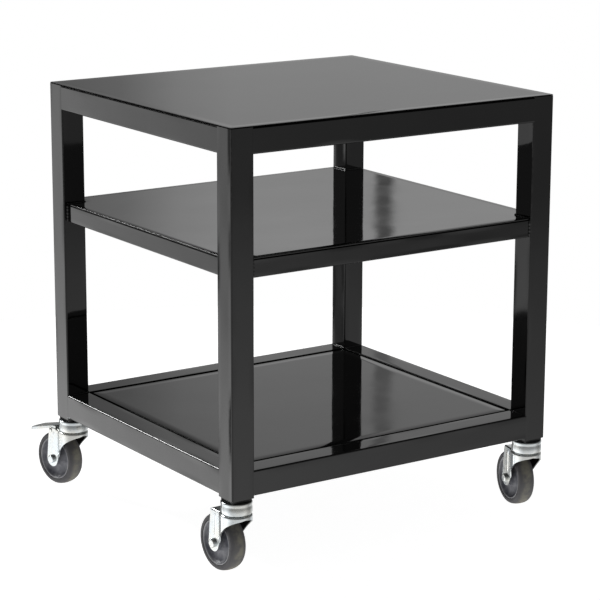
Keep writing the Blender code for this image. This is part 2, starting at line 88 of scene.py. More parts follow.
@dataclass
class Board:
    """A node tree being wired."""

    tree: bpy.types.NodeTree

    def add(self, kind: str, **settings: object) -> bpy.types.Node:
        """Adds a node.

        Args:
            kind: the node's type name.
            settings: the node's own properties.

        Returns:
            The new node.
        """
        node = self.tree.nodes.new(kind)
        for name, value in settings.items():
            setattr(node, name, value)
        return node

    def put(self, source: object, target: bpy.types.NodeSocket) -> None:
        """Links a socket to another, or sets a plain value on it."""
        if isinstance(source, bpy.types.NodeSocket):
            self.tree.links.new(source, target)
        else:
            target.default_value = source

    def reckon(self, operation: str, *terms: object) -> bpy.types.NodeSocket:
        """One arithmetic step.

        Args:
            operation: the Math node's operation.
            terms: sockets or numbers.

        Returns:
            The result's socket.
        """
        node = self.add("ShaderNodeMath", operation=operation)
        for target, term in zip(node.inputs, terms):
            self.put(term, target)
        return node.outputs[0]

    def between(
        self, value: object, low: float, high: float, first: float, last: float
    ) -> bpy.types.NodeSocket:
        """Carries a value smoothly from one range to another.

        Args:
            value: the socket that is read.
            low: where the change starts.
            high: where the change ends.
            first: the result at the start.
            last: the result at the end.

        Returns:
            The result's socket.
        """
        node = self.add("ShaderNodeMapRange", interpolation_type="SMOOTHSTEP")
        for target, term in zip(node.inputs, (value, low, high, first, last)):
            self.put(term, target)
        return node.outputs[0]

    def noise(
        self, where: object, scale: float, detail: float = 3.0, rough: float = 0.5
    ) -> bpy.types.NodeSocket:
        """Smooth noise over object coordinates.

        Args:
            where: the coordinates' socket.
            scale: spots to the metre.
            detail: how many finer layers are added.
            rough: how strong the finer layers are.

        Returns:
            The noise value's socket.
        """
        node = self.add("ShaderNodeTexNoise")
        self.put(where, node.inputs["Vector"])
        node.inputs["Scale"].default_value = scale
        node.inputs["Detail"].default_value = detail
        node.inputs["Roughness"].default_value = rough
        return node.outputs["Fac"]

    def blend(self, share: object, first: object, second: object) -> bpy.types.NodeSocket:
        """Mixes two colours.

        Args:
            share: how much of the second colour shows.
            first: a colour or a socket.
            second: a colour or a socket.

        Returns:
            The mixed colour's socket.
        """
        node = self.add("ShaderNodeMix", data_type="RGBA")
        self.put(share, node.inputs[0])
        self.put(first, node.inputs[6])
        self.put(second, node.inputs[7])
        return node.outputs[2]

    def levels(self, value: object, stops: tuple) -> bpy.types.NodeSocket:
        """Reads a level off a line through given stops.

        Args:
            value: the socket that is read.
            stops: pairs of a value and the level there, in order.

        Returns:
            The level's socket.
        """
        low, high = stops[0][0], stops[-1][0]
        scaled = self.add("ShaderNodeMapRange")
        for target, term in zip(scaled.inputs, (value, low, high, 0.0, 1.0)):
            self.put(term, target)
        ramp = self.add("ShaderNodeValToRGB")
        line = ramp.color_ramp.elements
        for number, (place, level) in enumerate(stops):
            stop = line[number] if number < 2 else line.new(1.0)
            stop.position = (place - low) / (high - low)
            stop.color = rgb(level, level, level)
        self.put(scaled.outputs[0], ramp.inputs[0])
        return ramp.outputs[0]

    def bump(self, height: object, depth: float, under: object = None) -> bpy.types.NodeSocket:
        """Relief from a height, in metres.

        Args:
            height: the height's socket, from 0 to 1.
            depth: how deep the relief is.
            under: the normal of the relief below it, if any.

        Returns:
            The new normal's socket.
        """
        node = self.add("ShaderNodeBump")
        node.inputs["Strength"].default_value = 1.0
        node.inputs["Distance"].default_value = depth
        self.put(height, node.inputs["Height"])
        if under is not None:
            self.put(under, node.inputs["Normal"])
        return node.outputs[0]


def new_finish(name: str) -> tuple[bpy.types.Material, Board, bpy.types.Node, bpy.types.NodeSocket]:
    """Starts a material.

    Args:
        name: the material's name.

    Returns:
        The material, its board, its shader and the object coordinates.
    """
    material = bpy.data.materials.new(name)
    material.use_nodes = True
    board = Board(material.node_tree)
    shader = material.node_tree.nodes["Principled BSDF"]
    where = board.add("ShaderNodeTexCoord").outputs["Object"]
    return material, board, shader, where


def rgb(red: float, green: float, blue: float) -> tuple[float, float, float, float]:
    """A colour with full cover."""
    return (red, green, blue, 1.0)


@dataclass(frozen=True)
class GlossPaint:
    """Black gloss enamel sprayed on steel, rubbed thin and dusty along its edges."""

    name: str = "gloss_black_enamel"
    fresh: tuple = rgb(0.0011, 0.0011, 0.0012)
    dusty: tuple = rgb(0.0026, 0.0025, 0.0024)
    rubbed: tuple = rgb(0.013, 0.0125, 0.012)
    smooth: float = 0.030
    dull: float = 0.085
    peel: float = 0.000004
    ripple: float = 0.00006
    cloud: float = 7.0
    peel_scale: float = 260.0
    ripple_scale: float = 21.0
    speck_scale: float = 190.0
    rub_share: float = 0.55
    rub_dulls: float = 0.16
    # painted shade at seams: extra roughness and a cut in specular, standing in for the shadow in a gap
    gap_shade_dulls: float = 0.5
    gloss: float = 0.5

    def build(self) -> bpy.types.Material:
        """Colour drifts with a cloudy noise, edges are rubbed, and orange peel lies over slow ripples.

        Seams, where the edge mark is below nothing, get painted shade: they are rougher and have less
        specular, so the gaps beside the sheets read as dark shadow lines.

        Returns:
            The material.
        """
        material, board, shader, where = new_finish(self.name)
        cloud = board.noise(where, self.cloud, 5.0, 0.6)
        speck = board.noise(where, self.speck_scale, 2.0)
        mark = board.add("ShaderNodeAttribute", attribute_name=EDGE).outputs["Fac"]
        worn = board.reckon("MAXIMUM", mark, 0.0)
        # painted shade: a mark below 0 makes a seam that is dulled and loses specular, standing in for the
        # shadow in a gap
        below = board.reckon("MULTIPLY", mark, -1.0)
        seam = board.reckon("MINIMUM", board.reckon("MAXIMUM", below, 0.0), 1.0)
        patchy = board.reckon("MULTIPLY", worn, board.between(speck, 0.42, 0.62, 0.15, 1.0))
        tone = board.blend(board.between(cloud, 0.35, 0.7, 0.0, 1.0), self.fresh, self.dusty)
        tone = board.blend(board.reckon("MULTIPLY", patchy, self.rub_share), tone, self.rubbed)
        board.put(tone, shader.inputs["Base Color"])
        rough = board.between(cloud, 0.3, 0.75, self.smooth, self.dull)
        rough = board.reckon("MULTIPLY_ADD", patchy, self.rub_dulls, rough)
        board.put(board.reckon("MULTIPLY_ADD", seam, self.gap_shade_dulls, rough), shader.inputs["Roughness"])
        # painted shade: the specular cut at seams, varied a little by the specks
        gap_shade_gloss_cut = board.reckon("MULTIPLY", seam, board.between(speck, 0.3, 0.7, 0.42, 0.48))
        board.put(board.reckon("SUBTRACT", self.gloss, gap_shade_gloss_cut), shader.inputs["Specular IOR Level"])
        ripple = board.bump(board.noise(where, self.ripple_scale, 1.0), self.ripple)
        peel = board.bump(board.noise(where, self.peel_scale, 2.0), self.peel, ripple)
        board.put(peel, shader.inputs["Normal"])
        shader.inputs["IOR"].default_value = 1.5
        return material


@dataclass(frozen=True)
class ZincPlate:
    """Zinc plating: cold blue-white with faint straw clouds, duller where it was handled."""

    name: str = "bright_zinc"
    cold: tuple = rgb(0.70, 0.745, 0.765)
    straw: tuple = rgb(0.775, 0.775, 0.735)
    dark: tuple = rgb(0.26, 0.285, 0.30)
    smooth: float = 0.16
    dull: float = 0.30
    cloud: float = 42.0
    speck: float = 420.0
    dent: float = 0.00007
    grain: float = 0.000012

    def build(self) -> bpy.types.Material:
        """Cold and straw tones drift, specks dull it, and a fine grain lies over slow dents.

        Returns:
            The material.
        """
        material, board, shader, where = new_finish(self.name)
        cloud = board.noise(where, self.cloud, 4.0, 0.6)
        speck = board.noise(where, self.speck, 2.0, 0.7)
        worn = board.add("ShaderNodeAttribute", attribute_name=EDGE).outputs["Fac"]
        tone = board.blend(board.between(cloud, 0.38, 0.66, 0.0, 1.0), self.cold, self.straw)
        spots = board.between(speck, 0.60, 0.76, 0.0, 0.55)
        dirt = board.reckon("MAXIMUM", spots, board.reckon("MULTIPLY", worn, 0.4))
        tone = board.blend(dirt, tone, self.dark)
        board.put(tone, shader.inputs["Base Color"])
        shader.inputs["Metallic"].default_value = 1.0
        rough = board.between(cloud, 0.3, 0.75, self.smooth, self.dull)
        board.put(board.reckon("MULTIPLY_ADD", spots, 0.2, rough), shader.inputs["Roughness"])
        waves = board.bump(board.noise(where, 120.0, 1.0), self.dent)
        board.put(board.bump(speck, self.grain, waves), shader.inputs["Normal"])
        return material


@dataclass(frozen=True)
class GreyRubber:
    """Non-marking grey rubber, dusty on the tread."""

    name: str = "grey_tyre_rubber"
    clean: tuple = rgb(0.080, 0.078, 0.082)
    dusty: tuple = rgb(0.205, 0.195, 0.155)
    scuffed: tuple = rgb(0.034, 0.033, 0.034)

    def build(self) -> bpy.types.Material:
        """Dust gathers in clouds and on the worn band, and a fine grain roughens the surface.

        Returns:
            The material.
        """
        material, board, shader, where = new_finish(self.name)
        cloud = board.noise(where, 55.0, 5.0, 0.65)
        grain = board.noise(where, 900.0, 3.0, 0.7)
        worn = board.add("ShaderNodeAttribute", attribute_name=EDGE).outputs["Fac"]
        dust = board.reckon("MULTIPLY", worn, board.between(cloud, 0.35, 0.62, 0.1, 0.9))
        tone = board.blend(dust, self.clean, self.dusty)
        tone = board.blend(board.between(cloud, 0.60, 0.74, 0.0, 0.6), tone, self.scuffed)
        board.put(tone, shader.inputs["Base Color"])
        board.put(board.between(cloud, 0.3, 0.7, 0.50, 0.72), shader.inputs["Roughness"])
        moulded = board.bump(board.noise(where, 160.0, 2.0), 0.00012)
        board.put(board.bump(grain, 0.00003, moulded), shader.inputs["Normal"])
        return material


@dataclass(frozen=True)
class MouldedPlastic:
    """Moulded plastic with a fine spark-eroded grain, paler where the edge mark is high."""

    name: str
    body: tuple
    pale: tuple
    rough: float

    def build(self) -> bpy.types.Material:
        """The tone drifts with noise, edges turn paler, and a fine grain covers it.

        Returns:
            The material.
        """
        material, board, shader, where = new_finish(self.name)
        cloud = board.noise(where, 70.0, 4.0, 0.6)
        grain = board.noise(where, 1300.0, 2.0, 0.6)
        worn = board.add("ShaderNodeAttribute", attribute_name=EDGE).outputs["Fac"]
        share = board.reckon("MULTIPLY_ADD", worn, 0.65, board.between(cloud, 0.35, 0.7, 0.0, 0.35))
        board.put(board.blend(share, self.body, self.pale), shader.inputs["Base Color"])
        rough = board.between(cloud, 0.3, 0.7, self.rough - 0.06, self.rough + 0.08)
        board.put(rough, shader.inputs["Roughness"])
        board.put(board.bump(grain, 0.00002), shader.inputs["Normal"])
        return material


# ---------------------------------------------------------------------------------------------------
# Surfaces: grids of points.


@dataclass
class Patch:
    """A grid of points (rows, columns, 3), with each point's edge mark (wear above 0, painted shade below 0)
    and which cells are kept.
    """

    points: np.ndarray
    worn: np.ndarray | None = None
    rows_close: bool = False
    columns_close: bool = True
    keep: np.ndarray | None = None

    def quads(self) -> np.ndarray:
        """Joins neighbouring rows and columns with faces, skipping the cells not kept.

        Returns:
            The corners of each face (n, 4), as numbers of points.
        """
        rows, columns = self.points.shape[:2]
        index = np.arange(rows * columns).reshape(rows, columns)
        if self.rows_close:
            index = np.vstack([index, index[:1]])
        if self.columns_close:
            index = np.hstack([index, index[:, :1]])
        cells = np.stack([index[:-1, :-1], index[:-1, 1:], index[1:, 1:], index[1:, :-1]], axis=-1)
        return cells.reshape(-1, 4) if self.keep is None else cells[self.keep]

    def wear(self) -> np.ndarray:
        """The edge mark of each point as one row: 0 to 1 for wear, below 0 for a painted-shade seam."""
        return np.zeros(self.points.shape[:2]).ravel() if self.worn is None else self.worn.ravel()

    def shifted(self, by: np.ndarray) -> "Patch":
        """The same patch, carried along by a distance."""
        return replace(self, points=self.points + by)

    def moved(self, turn: float, foot: np.ndarray) -> "Patch":
        """The same patch turned about Z and carried to a place.

        Args:
            turn: the angle about Z.
            foot: where the origin goes.

        Returns:
            The moved patch.
        """
        spin = np.array(Matrix.Rotation(turn, 3, "Z"))
        return replace(self, points=self.points @ spin.T + foot)


@dataclass
class Piece:
    """One finished piece: its patches, its finish, and what it rides on and stands for."""

    name: str
    patches: list[Patch]
    finish: bpy.types.Material
    slot: Slot
    body: str
    nodes: tuple[str, ...] = ()
    sharp: float = 38.0
    shell: float = 0.0
    bevel: float = 0.0
    # a dark material for the inner face of a sheet's wall: painted shade
    lining: bpy.types.Material | None = None

    def build(self) -> bpy.types.Object:
        """Joins the patches into one mesh, closes its seams, and hangs it on its body.

        Returns:
            The finished object.
        """
        starts = np.cumsum([0] + [patch.points[..., 0].size for patch in self.patches])
        points = np.vstack([patch.points.reshape(-1, 3) for patch in self.patches])
        quads = np.vstack([patch.quads() + start for patch, start in zip(self.patches, starts)])
        name = f"finished_{self.name}"
        mesh = bpy.data.meshes.new(name)
        mesh.from_pydata(points, [], quads.tolist())
        layer = mesh.attributes.new(EDGE, "FLOAT", "POINT")
        layer.data.foreach_set("value", np.concatenate([p.wear() for p in self.patches]).astype(np.float32))
        self.close(mesh)
        mesh.shade_smooth()
        mesh.set_sharp_from_angle(angle=math.radians(self.sharp))
        mesh.materials.append(self.finish)
        if self.lining:
            mesh.materials.append(self.lining)
        piece = bpy.data.objects.new(name, mesh)
        bpy.context.scene.collection.objects.link(piece)
        self.thicken(piece)
        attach(piece, self.body)
        if self.nodes:
            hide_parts(*self.nodes)
        LOG.info("%s: %d faces on %s", self.name, len(mesh.polygons), self.body)
        return piece

    def close(self, mesh: bpy.types.Mesh) -> None:
        """Merges the points of seams and poles, drops faces with no area and turns faces outwards.

        A sheet without its wall has no inside, so its faces are turned to look upwards on the whole.

        Args:
            mesh: the mesh, which is changed in place.
        """
        work = bmesh.new()
        work.from_mesh(mesh)
        bmesh.ops.remove_doubles(work, verts=work.verts, dist=MERGE)
        bmesh.ops.dissolve_degenerate(work, edges=work.edges, dist=MERGE / 4)
        loose = [vert for vert in work.verts if not vert.link_faces]
        bmesh.ops.delete(work, geom=loose, context="VERTS")
        bmesh.ops.recalc_face_normals(work, faces=work.faces)
        if self.shell and sum(face.normal.z * face.calc_area() for face in work.faces) < 0:
            bmesh.ops.reverse_faces(work, faces=work.faces)
        work.to_mesh(mesh)
        work.free()

    def thicken(self, piece: bpy.types.Object) -> None:
        """Gives a sheet its wall, inwards from its face, and eases its rims."""
        if self.shell:
            wall = piece.modifiers.new("wall", "SOLIDIFY")
            wall.thickness = self.shell
            wall.offset = -1.0
            wall.use_even_offset = False
            # the inner face of the wall takes the painted-shade lining where there is one
            wall.material_offset = 1 if self.lining else 0
        if self.bevel:
            ease = piece.modifiers.new("eased_rims", "BEVEL")
            ease.width = self.bevel
            ease.segments = 3
            ease.limit_method = "ANGLE"
            ease.angle_limit = math.radians(50)
            ease.harden_normals = False


def box_section(
    width: float, depth: float, corner: float, arc: int = 7, flat: int = 4
) -> tuple[np.ndarray, np.ndarray]:
    """Outline of a rectangle with rounded corners.

    Each corner is a quarter circle, and straight runs of evenly spaced points join one to the next.

    Args:
        width: size across.
        depth: size the other way.
        corner: radius of the corners.
        arc: steps round a corner.
        flat: steps along a flat.

    Returns:
        The points (n, 2) and how worn each is: a half sine over each corner, nothing on the flats.
    """
    quarter = np.arange(4)[:, None]
    share = np.linspace(0, 1, arc + 1)[None, :]
    angle = (quarter + share) * math.pi / 2
    reach = np.array([width / 2 - corner, depth / 2 - corner])
    signs = np.array([(1, 1), (-1, 1), (-1, -1), (1, -1)])
    arcs = signs[:, None, :] * reach + corner * np.stack([np.cos(angle), np.sin(angle)], axis=-1)
    step = np.linspace(0, 1, flat + 1)[1:-1][None, :, None]
    ends = np.roll(arcs[:, 0], -1, axis=0)[:, None]
    flats = arcs[:, -1][:, None] * (1 - step) + ends * step
    points = np.concatenate([arcs, flats], axis=1).reshape(-1, 2)
    worn = np.concatenate([np.tile(np.sin(share * math.pi), (4, 1)), np.zeros((4, flat - 1))], axis=1)
    return points, worn.ravel()


def turned(
    profile: np.ndarray, along: Along = Along.Z, steps: int = 64, worn: np.ndarray | None = None
) -> Patch:
    """Turns a profile about an axis: radius times cosine and sine of the angle, height kept.

    Args:
        profile: (n, 2) radius and height, closed if its ends differ only by the bore.
        along: the axis it is turned about.
        steps: steps round the axis.
        worn: how worn each point of the profile is.

    Returns:
        The turned patch, closed along its profile.
    """
    angle = np.arange(steps) * TAU / steps
    radius = profile[:, :1]
    height = np.broadcast_to(profile[:, 1:], (len(profile), steps))
    points = np.stack([radius * np.cos(angle), radius * np.sin(angle), height], axis=-1)
    shade = None if worn is None else np.broadcast_to(worn[:, None], points.shape[:2])
    return Patch(points[..., list(along.value)], shade, rows_close=True)


def eased(corners: np.ndarray, radius: float, steps: int = 3) -> np.ndarray:
    """Rounds the corners of a closed profile.

    Each corner is swapped for a parabola that leaves one side and meets the other at the same
    distance: that of the radius, or 0.45 of the shorter side.

    Args:
        corners: (n, 2) corners in order.
        radius: how far from the corner the rounding starts.
        steps: steps along each rounding.

    Returns:
        The points of the rounded profile.
    """
    before = np.roll(corners, 1, axis=0) - corners
    after = np.roll(corners, -1, axis=0) - corners
    long_before = np.linalg.norm(before, axis=1, keepdims=True)
    long_after = np.linalg.norm(after, axis=1, keepdims=True)
    reach = np.minimum(radius, 0.45 * np.minimum(long_before, long_after))
    start = (corners + before / long_before * reach)[:, None]
    end = (corners + after / long_after * reach)[:, None]
    share = np.linspace(0, 1, steps + 1)[None, :, None]
    middle = corners[:, None]
    curve = (1 - share) ** 2 * start + 2 * share * (1 - share) * middle + share**2 * end
    return curve.reshape(-1, 2)


def flowing(points: np.ndarray, steps: int) -> np.ndarray:
    """A smooth open line through points, by Catmull-Rom cubics between neighbours.

    Args:
        points: (n, k) points in order.
        steps: steps between two of them.

    Returns:
        The points of the smooth line.
    """
    ends = np.vstack([2 * points[0] - points[1], points, 2 * points[-1] - points[-2]])
    first, second, third, fourth = ends[:-3], ends[1:-2], ends[2:-1], ends[3:]
    share = (np.arange(steps) / steps)[None, :, None]
    first, second, third, fourth = (part[:, None] for part in (first, second, third, fourth))
    curve = 0.5 * (
        2 * second
        + (third - first) * share
        + (2 * first - 5 * second + 4 * third - fourth) * share**2
        + (3 * second - first - 3 * third + fourth) * share**3
    )
    return np.vstack([curve.reshape(-1, points.shape[1]), points[-1:]])


def slab(outline: np.ndarray, low: float, high: float, along: Along = Along.X) -> Patch:
    """A flat plate over an outline: its rim twice, and its middle as a pole at each face.

    Args:
        outline: (n, 2) points round the plate.
        low: where its first face lies along the axis.
        high: where its second face lies.
        along: the axis through the plate.

    Returns:
        The closed patch.
    """
    middle = outline.mean(axis=0)
    pole = np.broadcast_to(middle, outline.shape)
    inner = middle + (outline - middle) * 0.96
    ease = (high - low) * 0.12
    rows = [
        (pole, low),
        (inner, low),
        (outline, low + ease),
        (outline, high - ease),
        (inner, high),
        (pole, high),
    ]
    grid = np.stack([np.column_stack([ring, np.full(len(ring), level)]) for ring, level in rows])
    return Patch(grid[..., list(along.value)])


def slow_waves(where: np.ndarray, length: float, seed: float) -> np.ndarray:
    """A slow wander between -1 and 1: three sines of different length and start, averaged.

    Args:
        where: distances along the piece.
        length: the longest wave.
        seed: what sets the waves' starts.

    Returns:
        The wander at each distance.
    """
    rates = np.array([1.0, 1.73, 2.61])
    starts = seed * np.array([1.0, 2.3, 4.1])
    return np.sin(where[..., None] * TAU * rates / length + starts).mean(axis=-1)


def bead(path: np.ndarray, up: tuple[float, float, float], radius: float, seed: float) -> Patch:
    """A weld bead: a circle carried along a path, swelling at each ripple and closing at both ends.

    Args:
        path: (n, 3) points along its middle.
        up: a direction square to the path all the way.
        radius: the circle's radius.
        seed: what sets the unevenness.

    Returns:
        The closed patch.
    """
    fine = flowing(path, 6)
    tangent = np.gradient(fine, axis=0)
    tangent /= np.linalg.norm(tangent, axis=1, keepdims=True)
    lift = np.broadcast_to(np.array(up, float), fine.shape)
    side = np.cross(tangent, lift)
    side /= np.linalg.norm(side, axis=1, keepdims=True)
    share = np.linspace(-1, 1, len(fine))
    run = np.linspace(0, len(path) - 1, len(fine))
    ripple = 0.10 * np.sin(run * TAU / 1.6 + seed)
    swell = 1 + ripple + 0.12 * slow_waves(run, 9.0, seed)
    size = (radius * swell * np.sqrt(np.clip(1 - share**6, 0, 1)))[:, None, None]
    sides = 14
    angle = np.arange(sides) * TAU / sides
    ring = lift[:, None] * np.cos(angle)[None, :, None] + side[:, None] * np.sin(angle)[None, :, None]
    return Patch(fine[:, None] + ring * size, np.full((len(fine), sides), 0.25))


# ---------------------------------------------------------------------------------------------------
# The welded frame.


@dataclass
class Bar:
    """One square tube of the frame, open inside, running on under the ground welds at its ends.

    A bar under a sheet gets painted shade along its upper corners: a dull dark seam standing in for the
    shadow in the gap. A bar beside the tray gets one along the upper corner that faces the groove, on the
    side (-1 or +1) that groove gives.
    """

    node: str
    along: Along
    finish: bpy.types.Material
    wall: float = 0.0020
    corner: float = 0.0022
    overrun: float = 0.0
    bore_corner: float = 0.0006
    station: float = 0.006
    wander: float = 0.00005
    under_sheet: bool = False
    groove: float = 0.0

    def build(self) -> bpy.types.Object:
        """Carries the square outline along the bar, out on the outside and back on the inside.

        Returns:
            The finished bar.
        """
        low, high = (np.array(corner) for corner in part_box(self.node))
        axis = self.along.value.index(2)
        across = [number for number in range(3) if number != axis]
        middle = (low + high) / 2
        size = float((high - low)[across[0]])
        half = float((high - low)[axis]) / 2 + self.overrun
        stations = np.linspace(-half, half, max(24, int(half / self.station)))
        section, worn = box_section(size, size, self.corner)
        inside_size = size - 2 * self.wall
        bore, _ = box_section(inside_size, inside_size, self.bore_corner)
        seed = float(abs(middle).sum()) * 37.0
        outside = self.carry(section, stations, worn, seed)
        inside = self.carry(bore, stations[::-1], worn * 0, None)
        sideways, lift = section.T if self.along is Along.X else section.T[::-1]
        # painted shade: corners under a sheet, and the corner facing the tray's groove, get the mark -1, a
        # dull dark seam for the shadow in the gap
        if self.under_sheet:
            worn = np.where(lift > size / 2 - 0.8 * self.corner, -1.0, worn)
        if self.groove:
            bend = size / 2 - self.corner
            worn = np.where((lift > bend) & (sideways * self.groove > bend), -1.0, worn)
        points = np.concatenate([outside, inside])
        wear = np.concatenate([np.tile(worn, (len(stations), 1)), np.zeros((len(stations), len(bore)))])
        placed = points[..., list(self.along.value)] + middle
        patch = Patch(placed, wear, rows_close=True)
        return Piece(self.node, [patch], self.finish, Slot.PAINT, "frame", (self.node,)).build()

    def carry(
        self, section: np.ndarray, stations: np.ndarray, worn: np.ndarray, seed: float | None
    ) -> np.ndarray:
        """The outline at each station, its flats wandering in and out by a hair.

        Args:
            section: (n, 2) outline.
            stations: distances along the bar.
            worn: the outline's wear, which marks its corners.
            seed: what sets the wander, or None for a straight bore.

        Returns:
            The points (stations, n, 3).
        """
        grid = np.zeros((len(stations), len(section), 3))
        grid[..., :2] = section
        grid[..., 2] = stations[:, None]
        if seed is None:
            return grid
        flat = np.clip(1 - 4 * worn, 0, 1)
        face = np.round(np.arctan2(section[:, 1], section[:, 0]) / (math.pi / 2))
        wander = slow_waves(stations[:, None] + face * 0.31, 0.33, seed)
        inward = section / np.abs(section).max()
        grid[..., :2] -= inward * ((wander + 1) * self.wander * flat)[..., None]
        return grid


@dataclass
class Sheets:
    """The top sheet, the notched shelf sheet and the sunk bottom tray."""

    finish: bpy.types.Material
    gauge: float = 0.0015
    top_corner: float = 0.0030
    tray_bend: float = 0.0022
    sag: float = 0.00012
    rings: int = 16
    pole: float = 0.00005
    rim_ease: float = 0.0003
    leg_gap: float = 0.0003
    shelf_bevel: float = 0.0004

    def build(self) -> None:
        """Builds the three sheets."""
        self.build_top()
        self.build_shelf()
        self.build_tray()

    def rings_in(self, node: str, profile: np.ndarray, corner: float, dark: float) -> Piece:
        """A sheet as rings: each is the rim's rounded rectangle set in by a distance, at a height.

        Args:
            node: the CAD node that gives the rim.
            profile: (n, 2) distance set in and height.
            corner: radius of the rim's corners.
            dark: how far in from the rim the painted shade reaches, a dull dark seam for the shadow in the
                gap.

        Returns:
            The piece, not yet built.
        """
        low, high = (np.array(end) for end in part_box(node))
        width, depth = (high - low)[:2]
        rows, wear = [], []
        for inset, level in profile:
            radius = max(corner - inset, 0.00004)
            ring, _ = box_section(width - 2 * inset, depth - 2 * inset, radius, 7, 26)
            rows.append(np.column_stack([ring, np.full(len(ring), level)]))
            # painted shade: rings near the rim and below the top face get the mark -1
            wear.append(np.full(len(ring), -1.0 if inset < dark and level < high[2] - 0.0001 else 0.0))
        points = np.stack(rows)
        calm = np.clip(profile[:, 0] / 0.05, 0, 1)[:, None]
        points[..., 2] -= self.sag * calm * (1 + self.hills(points[..., :2]))
        points[..., :2] += (low[:2] + high[:2]) / 2
        return Piece(node, [Patch(points, np.stack(wear))], self.finish, Slot.PAINT, "frame", (node,))

    def hills(self, place: np.ndarray) -> np.ndarray:
        """Low hills over a sheet: half the sum of slow waves along both sides, and their product.

        Args:
            place: points in plan, (..., 2).

        Returns:
            The height at each point, as a share of the sag.
        """
        along = slow_waves(place[..., 0], 0.47, 1.3)
        across = slow_waves(place[..., 1], 0.39, 2.9)
        return (along + across) / 2 + along * across

    def build_top(self) -> None:
        """The top sheet: flat under, a softly rounded rim, flat over."""
        low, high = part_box("top_panel")
        middle = min(high.x - low.x, high.y - low.y) / 2 - self.pole
        ease = self.gauge * 0.42
        turn = np.linspace(0, math.pi / 2, 6)
        under = [(inset, low.z) for inset in np.linspace(middle, ease, self.rings)]
        lower = [(ease * (1 - math.sin(a)), low.z + ease * (1 - math.cos(a))) for a in turn]
        upper = [(ease * (1 - math.cos(a)), high.z - ease * (1 - math.sin(a))) for a in turn]
        over = [(inset, high.z) for inset in np.linspace(ease, middle, self.rings)]
        profile = np.array(under[:-1] + lower + upper + over[1:])
        # painted shade on the top sheet's rim, standing in for the dark gap line over the rails
        self.rings_in("top_panel", profile, self.top_corner, self.top_corner / 6).build()

    def build_tray(self) -> None:
        """The bottom tray: flat, bent down all round, and hollow under."""
        low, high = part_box("bottom_panel")
        middle = min(high.x - low.x, high.y - low.y) / 2 - self.pole
        bend = self.tray_bend
        turn = np.linspace(0, math.pi / 2, 6)
        over = [(inset, high.z) for inset in np.linspace(middle, bend, self.rings)]
        outer = [(bend * (1 - math.sin(a)), high.z - bend * (1 - math.cos(a))) for a in turn]
        ease = self.rim_ease
        rim = [(0.0, low.z + ease), (ease, low.z), (self.gauge - ease, low.z), (self.gauge, low.z + ease)]
        inner_bend = bend - self.gauge
        roof = high.z - self.gauge
        inner = [
            (self.gauge + inner_bend * (1 - math.cos(a)), roof - inner_bend * (1 - math.sin(a))) for a in turn
        ]
        under = [(inset, roof) for inset in np.linspace(bend, middle, self.rings)]
        profile = np.array(over[:-1] + outer + rim + inner + under[1:])
        # painted shade over the tray's outer bend, standing in for the dark groove beside the rails
        self.rings_in("bottom_panel", profile, bend, bend).build()

    def build_shelf(self) -> None:
        """The shelf sheet: a grid of flat cells, with the cells at the legs left out."""
        low, high = (np.array(end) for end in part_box("shelf_panel"))
        _, leg_high = (np.array(end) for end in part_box("leg_front_left"))
        far_leg, _ = (np.array(end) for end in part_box("leg_rear_right"))
        notch_x = (leg_high[0] + self.leg_gap, far_leg[0] - self.leg_gap)
        notch_y = (leg_high[1] + self.leg_gap, far_leg[1] - self.leg_gap)
        xs = self.stops(low[0], high[0], notch_x)
        ys = self.stops(low[1], high[1], notch_y)
        grid = np.zeros((len(xs), len(ys), 3))
        grid[..., 0] = xs[:, None]
        grid[..., 1] = ys[None, :]
        rim_x = np.minimum(xs - low[0], high[0] - xs)
        rim_y = np.minimum(ys - low[1], high[1] - ys)
        rim = np.minimum(rim_x[:, None], rim_y[None, :])
        calm = np.clip(rim / 0.06, 0, 1)
        grid[..., 2] = high[2] - self.sag * calm * (1 + self.hills(grid[..., :2]))
        beside = (xs[:-1] < notch_x[0] - MERGE) | (xs[:-1] > notch_x[1] - MERGE)
        behind = (ys[:-1] < notch_y[0] - MERGE) | (ys[:-1] > notch_y[1] - MERGE)
        keep = ~(beside[:, None] & behind[None, :])
        worn = np.where(rim < 0.0001, 0.8, 0.0)
        patch = Patch(grid, worn, columns_close=False, keep=keep)
        node = "shelf_panel"
        edges = {"shell": self.gauge, "bevel": self.shelf_bevel}
        Piece(node, [patch], self.finish, Slot.PAINT, "frame", (node,), **edges).build()

    def stops(self, low: float, high: float, notch: tuple[float, float]) -> np.ndarray:
        """Grid lines from one rim to the other, with lines on the notches' edges.

        Args:
            low: the first rim.
            high: the second rim.
            notch: the notches' two edges between them.

        Returns:
            The lines' places in order.
        """
        between = np.linspace(*notch, 40)[1:-1]
        return np.concatenate([np.linspace(low, notch[0], 4), between, np.linspace(notch[1], high, 4)])


